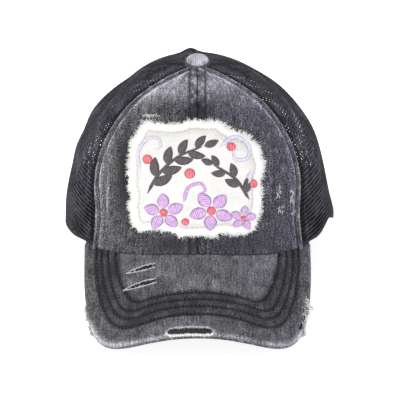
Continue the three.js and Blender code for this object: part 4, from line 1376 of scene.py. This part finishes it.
def peak_finish(x, s, edge_distance):
    """Relief, wear and painted shade of the peak's upper cloth."""
    relief = 0.12 * noise(x, s, 7, 61) + 0.25 * noise(x, s, 24, 62)
    distances = [row_distance(x, s, path) for path in ROW_PATHS]
    # Painted shade in the tear at the left edge and along the turned edge.
    shade = edge_tear(x, s, edge_distance) + 0.6 * bell(edge_distance, 0.9)
    for distance in distances:
        relief -= 0.9 * bell(distance, 1.0)
        # Painted shade in the grooves of the stitch rows.
        shade += bell(distance, 0.75) + 0.14 * bell(distance, 1.6)
    middle, rim = smooth_step(0.5, 4, distances[0]), smooth_step(-0.5, -3, distances[-1])
    relief += 0.25 * smooth_step(0.5, -0.5, distances[0]) * smooth_step(-0.5, 0.5, distances[-1])
    front = smooth_step(20, 45, s)
    corner = bell(edge_distance - 2.4, 3) * front * smooth_step(44, 58, np.abs(x))
    # Painted light: the middle inside the first stitch row is lighter, where the peak faces up most.
    wear = 0.21 + 0.21 * middle + rim * (0.07 + 0.06 * smooth_step(60, 80, np.abs(x)))
    wear -= 0.1 * middle * smooth_step(10, 24, s) * bell(x + 42, 14)
    wear += (0.2 * front + 0.12) * bell(edge_distance - 2, 2) + 0.08 * front * bell(edge_distance, 9)
    wear += (0.13 - 0.06 * np.sign(x)) * corner + 0.2 * bell(x + 3, 34) * bell(s - PEAK_LENGTH + 8, 8)
    wear += 0.05 * noise(x, s, 16, 63) + 0.08 * noise(x, s, 5, 64)
    for tear in PEAK_TEARS:
        along, across = tear_place(x, s, tear)
        past_end, past_side = np.maximum(0, np.abs(along) - 0.9), np.maximum(0, np.abs(across) - 1)
        wear += 0.2 * bell(past_end, 0.12) * bell(past_side, 0.4)
    return relief, wear, np.clip(shade, 0, 1)


def cell_means(grid):
    return 0.25 * (grid[1:, 1:] + grid[1:, :-1] + grid[:-1, 1:] + grid[:-1, :-1])


def peak_cover(side):
    """One of the peak's two covers. The upper one is torn through in three places and at its left edge."""
    upper = side > 0
    columns, flat_rows, turn_rows = (270, 140, 8) if upper else (150, 60, 6)
    tucked = PEAK_TUCK if upper else 0.0
    (x, s, height), inner = (cover_section(k, columns, flat_rows, turn_rows, tucked) for k in (True, False))
    rows = flat_rows + turn_rows
    edge = across_peak(columns)[0]
    edge_distance = np.hypot(x - edge[:, 0], s - edge[:, 1])
    relief, wear, shade = peak_finish(x, s, edge_distance)
    relief = relief * smooth_step(rows, flat_rows - 6, np.arange(rows + 1)[:, None])
    keep = np.ones((rows, columns), bool)
    if upper:
        centre = cell_means(x), cell_means(s)
        for tear in PEAK_TEARS:
            along, across = tear_place(*centre, tear)
            keep &= (np.abs(along) >= 1) | (np.abs(across + 0.25 * noise(*centre, 1.2, 66)) >= 1)
        ragged = edge_tear(*centre, 0.5 * (edge_distance[1:, 1:] + edge_distance[:-1, :-1]))
        keep &= ragged + 0.25 * noise(*centre, 1.5, 67) < 0.75
    else:
        wear = 0.3 + 0.08 * noise(x, s, 12, 65)
    outer = above_floor(on_sheet(x, s, side * (height + relief)))
    lining = on_sheet(*inner[:2], side * inner[2])
    name, node_name = ("upper", "peak_top_cover") if upper else ("lower", "peak_under_cover")
    make_shell("peak_" + name + "_cloth", PEAK_COTTON, "washed_cotton", node_name, outer, lining,
               stacked(x, s, 0), wear, shade, keep=keep, flip=not upper)


def peak_stitching():
    for side, name in ((1, "upper"), (-1, "lower")):
        rows = []
        for path in ROW_PATHS:
            rim = rim_plan(np.degrees(np.arctan2(path[:, 0], 90)), 0)
            x, s = path[path[:, 1] > sheet_forward(*rim) - 1].T
            points = on_sheet(x, s, side * (PEAK_HALF_THICKNESS - 0.3))
            rows.append((points, side * sheet_normal(x, s), 2.2, 0.8, 0.55, 0.4))
        sew("peak_stitching_" + name, DARK_THREAD, "washed_cotton", rows)


def loose_threads(piece, rng, start, heading, length, lift, thick, steps=5, curl=0.6):
    """Loose threads on the peak, each from a start in x and s along a heading."""
    count = len(heading)
    way = np.linspace(0, 1, steps)[None, :]
    bend = heading[:, None] + rng.normal(0, curl, count)[:, None] * way
    bend = bend + rng.normal(0, curl / 2, (count, steps))
    x = start[:, :1] + length[:, None] * way * np.cos(bend)
    s = start[:, 1:] + length[:, None] * way * np.sin(bend)
    height = PEAK_HALF_THICKNESS + lift[:, None] * np.sin(way * math.pi * 0.8) + 0.1
    piece.add(*strands(on_sheet(x, s, height), sheet_normal(x, s), thick, thick))


def tear_frays():
    """White threads bared along the edges of the tears, some of them bridging the tear."""
    rng = np.random.default_rng(71)
    piece = Piece()
    count = 60
    for tear in PEAK_TEARS[:2]:
        wide = tear[3]
        for edge, k in ((edge, k) for edge in (-1, 1) for k in range(3)):
            t = np.linspace(-1.12, 0.98 + 0.05 * k, 40)
            wobble = 0.3 * noise(t * 9, t * 0 + k * 5 + edge, 1, 72)
            half = tear_half(np.minimum(t, 0.82), wide)
            x, s = from_tear(t, edge * (half + 0.24 * k - 0.2) + wobble, tear)
            height = PEAK_HALF_THICKNESS + 0.22 + 0.25 * noise(t * 7, t * 0 + k, 1, 73)
            piece.add(*strands(on_sheet(x, s, height)[None], sheet_normal(x, s)[None], 0.22, 0.22))
        along = rng.uniform(-0.95, 0.98, count)
        edge = rng.choice([-1, 1], count)
        start = stacked(*from_tear(along, edge * tear_half(along, wide) * 1.2, tear))
        heading = -edge * math.pi / 2 + rng.normal(0, 1.0, count)
        length = rng.uniform(0.5, 2.2, count)
        loose_threads(piece, rng, start, heading, length, rng.uniform(0, 0.4, count), 0.16)
    piece.make("tear_frays", BARED, "washed_cotton")


def front_edge_fray():
    """The worn front edge of the peak: a brush of white threads over the slot and a thin lip under it."""
    rng = np.random.default_rng(81)
    wide = SLOT[3]
    piece, count = Piece(), 620
    along = rng.uniform(-1.05, 1.03, count)
    start = stacked(*from_tear(along, slot_half(along, wide) + rng.uniform(-0.1, 1.5, count), SLOT))
    heading = -math.pi / 2 + rng.normal(0, 0.8, count)
    length = rng.uniform(0.5, 1.3, count)
    loose_threads(piece, rng, start, heading, length, rng.uniform(0, 0.35, count), 0.2, 4)
    piece.make("front_edge_fray", FLUFF, "washed_cotton")
    piece, count = Piece(), 190
    along = rng.uniform(-1.08, 1.08, count)
    start = stacked(*from_tear(along, -slot_half(along, wide) - rng.uniform(0.1, 0.8, count), SLOT))
    heading = rng.normal(0, 0.4, count) + rng.choice([0, math.pi], count)
    length = rng.uniform(0.6, 1.8, count)
    loose_threads(piece, rng, start, heading, length, rng.uniform(0, 0.2, count), 0.18, 4)
    piece.make("front_edge_lip", BARED, "washed_cotton")


# Frayed stretches of the peak's edge: first and last share of its way round, threads, and their length
EDGE_FRAYS = {
    "grey": ((-0.71, -0.65, 90, 3.4), (-0.64, -0.57, 60, 3.8), (0.69, 0.71, 16, 4), (0.58, 0.61, 40, 4.4)),
    "white": ((0.56, 0.72, 90, 3.0), (-0.3, 0.3, 90, 0.9)),
}


def edge_frays():
    rng = np.random.default_rng(91)
    pieces = {colour: Piece() for colour in EDGE_FRAYS}
    way = np.linspace(0, 1, 5)[None, :]
    for colour, first, last, count, longest in ((c, *row) for c, rows in EDGE_FRAYS.items() for row in rows):
        edge = peak_edge(rng.uniform(first, last, count))
        heading = np.arctan2(edge[:, 1] + 10, edge[:, 0]) + rng.normal(0, 0.5, count)
        bend = heading[:, None] + rng.normal(0, 0.6, count)[:, None] * way
        length = rng.uniform(0.5, 1, count)[:, None] * longest
        x = edge[:, :1] * 0.995 + length * way * np.cos(bend)
        s = edge[:, 1:] - 0.4 + length * way * np.sin(bend)
        height = rng.uniform(-1.0, 1.2, count)[:, None] + rng.normal(0, 0.5, count)[:, None] * way
        points = above_floor(on_sheet(x, s, height), 0.4)
        pieces[colour].add(*strands(points, np.array([0.0, 0.0, 1.0]), 0.22, 0.22))
    count = 70
    share = rng.uniform(0.595, 0.705, count)
    edge = peak_edge(share)
    inward = unit(peak_root(share) - edge)
    depth = EDGE_TEAR_DEPTH + rng.choice([-1.0, 1.0], count) * rng.uniform(0.4, 1.5, count)
    heading = np.arctan2(inward[:, 1], inward[:, 0]) + rng.normal(math.pi / 2, 0.9, count)
    start = edge + inward * depth[:, None]
    lift = rng.uniform(0, 0.5, count)
    loose_threads(pieces["white"], rng, start, heading, rng.uniform(1.0, 3.0, count), lift, 0.2)
    pieces["white"].make("peak_edge_frays", FLUFF, "washed_cotton")
    pieces["grey"].make("peak_edge_grey_frays", WORN_THREAD, "washed_cotton")


# Scuffs of the crown's cotton: middle across and above, half sizes, threads, and their main angle
SCUFFS = (
    ((-32.5, 103.4), (6.5, 1.3), 26, 5),
    ((-38.2, 98.2), (1.2, 1.6), 8, 40),
    ((56.6, 45.5), (1.6, 4.0), 16, 100),
    ((58.0, 34.0), (1.8, 4.0), 13, 60),
    ((67.6, 42.0), (1.3, 5.5), 16, 95),
    ((70.2, 28.6), (3.2, 1.8), 12, -25),
)


def crown_scuffs():
    """Short bared threads, crossed at random, where the cotton of the crown has been scraped."""
    rng = np.random.default_rng(101)
    piece = Piece()
    way = np.linspace(-0.5, 0.5, 9)[:, None]
    for middle, spread, angle in ((m, sizes, a) for m, sizes, count, a in SCUFFS for _ in range(count)):
        place = np.array(middle) + rng.uniform(-1, 1, 2) * spread
        heading = (angle + rng.normal(0, 32)) * DEGREE
        ahead = np.array([math.cos(heading), math.sin(heading)])
        length, bow = rng.uniform(1.2, 4.2), rng.normal(0, 0.7)
        path = place + ahead * length * way + ahead[::-1] * (-1, 1) * bow * (way * 2) ** 2
        azimuth, share = cloth_place(0.0, *path.T)
        points, up = crown_row(azimuth, share, front_surface(azimuth, share)[2] + 0.12)
        thick = rng.uniform(0.16, 0.28) * (1 - 0.6 * np.abs(2 * way.T))
        piece.add(*strands(points[None], up[None], thick, thick))
    piece.make("crown_scuffs", FLUFF, "washed_cotton")


# Camera, light and floor

CAMERA_ELEVATION = 14 * DEGREE
CAMERA_DISTANCE = 1800
MM_PER_PIXEL = 0.76
IMAGE_SIZE = 400
PICTURE_CENTRE = (197.5, 154)
TARGET = np.array([0, 0, 50])
FLOOR_SIZE = 6


def add_camera():
    """A camera at the photograph's angle to the crown, aimed so that the crown lands where it does there."""
    sine, cosine = math.sin(CAMERA_ELEVATION), math.cos(CAMERA_ELEVATION)
    right, down = (IMAGE_SIZE / 2 - at for at in PICTURE_CENTRE)
    place = in_row_frame(TARGET + CAMERA_DISTANCE * np.array([0, -cosine, sine]))
    aim = in_row_frame(TARGET + MM_PER_PIXEL * np.array([right, -down * sine, -down * cosine]))
    data = bpy.data.cameras.new("camera")
    data.lens = data.sensor_width * CAMERA_DISTANCE / (IMAGE_SIZE * MM_PER_PIXEL)
    data.clip_end = 20
    camera = add_object("camera", data)
    camera.location = place
    direction = aim - place
    pitch = math.atan2(direction[2], math.hypot(direction[0], direction[1]))
    camera.rotation_euler = (math.pi / 2 + pitch, 0, math.atan2(-direction[0], direction[1]))
    bpy.context.scene.camera = camera


def area_light(name, place, size, power, colour=(1, 1, 1)):
    data = bpy.data.lights.new(name, "AREA")
    data.shape = "DISK"
    data.size = size
    data.energy = power
    data.color = colour
    light = add_object(name, data)
    light.location = place
    direction = np.array([0, 0, 0.07]) - place
    tilt = math.atan2(math.hypot(direction[0], direction[1]), -direction[2])
    light.rotation_euler = (tilt, 0, math.atan2(direction[1], direction[0]) - math.pi / 2)


def studio():
    world = bpy.data.worlds.new("studio")
    world.use_nodes = True
    sky = world.node_tree
    height = node(sky, "SeparateXYZ", {0: node(sky, "TexCoord").outputs["Generated"]}).outputs["Z"]
    levels = [(place, [grey] * 3) for place, grey in ((0, 1), (0.2, 1), (0.45, 0.32), (1, 0.32))]
    sky.links.new(ramp(sky, height, levels), sky.nodes["Background"].inputs["Color"])
    bpy.context.scene.world = world
    bpy.context.scene.view_settings.view_transform = "Standard"
    area_light("key", (-0.5, -0.7, 1.8), 1.0, 24)
    area_light("fill", (1.2, -1.2, 0.9), 1.6, 4, (0.82, 0.86, 1))
    area_light("front", (-0.2, -1.8, 0.8), 1.0, 4)
    material, tree, shader = new_material("floor", 0.9)
    shader.inputs["Emission Color"].default_value = (1, 1, 1, 1)
    shader.inputs["Emission Strength"].default_value = 0.75
    grain = cloud(tree, node(tree, "TexCoord").outputs["Object"], 0.3)
    tree.links.new(ramp(tree, grain, [(0, [0.93] * 3), (1, [0.95] * 3)]), shader.inputs["Base Color"])
    mesh = bpy.data.meshes.new("floor")
    corners = [(x * FLOOR_SIZE, y * FLOOR_SIZE, 0) for x, y in ((-1, -1), (1, -1), (1, 1), (-1, 1))]
    mesh.from_pydata(corners, [], [(0, 1, 2, 3)])
    mesh.materials.append(material)
    add_object("floor", mesh)


def side_edge(share):
    return SIDE_SEAM_AZIMUTH + 0 * share


def back_edge(share):
    return 180.0 + 0 * share


def crown():
    for side, name in ((-1, "right"), (1, "left")):
        front_panel(side, name)
        welt(side, name)
        net_panel(side, seam_azimuth, side_edge, "side_net_" + name, "side_mesh_" + name)
        net_panel(side, side_edge, back_edge, "back_net_" + name, "back_mesh_" + name)
        for place, line in (("front", seam_azimuth), ("side", side_edge)):
            tape(lambda share, side=side, line=line: side * line(share), TAPE_ROWS, place + "_tape_" + name,
                 place + "_seam_tape_" + name)
    tape(lambda share: 0.0 * share, TAPE_ROWS, "centre_tape", "centre_seam_tape")
    tape(back_edge, BACK_TAPE_ROWS, "back_tape", "back_seam_tape")
    front_stitching()
    crown_scuffs()
    sweatband()
    opening_binding()
    closure_strap(1, False, "inner_strap", "closure_strap_inner")
    closure_strap(-1, True, "outer_strap", "closure_strap_outer")
    top_button()


def peak():
    peak_cover(1)
    peak_cover(-1)
    peak_stitching()
    tear_frays()
    front_edge_fray()
    edge_frays()
    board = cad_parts["peak_board"]
    board.data.materials.clear()
    board.data.materials.append(moulded_board("board"))


def patch():
    front_patch()
    patch_fringe()
    patch_stitching()
    embroidery()


add_camera()
studio()
crown()
peak()
patch()
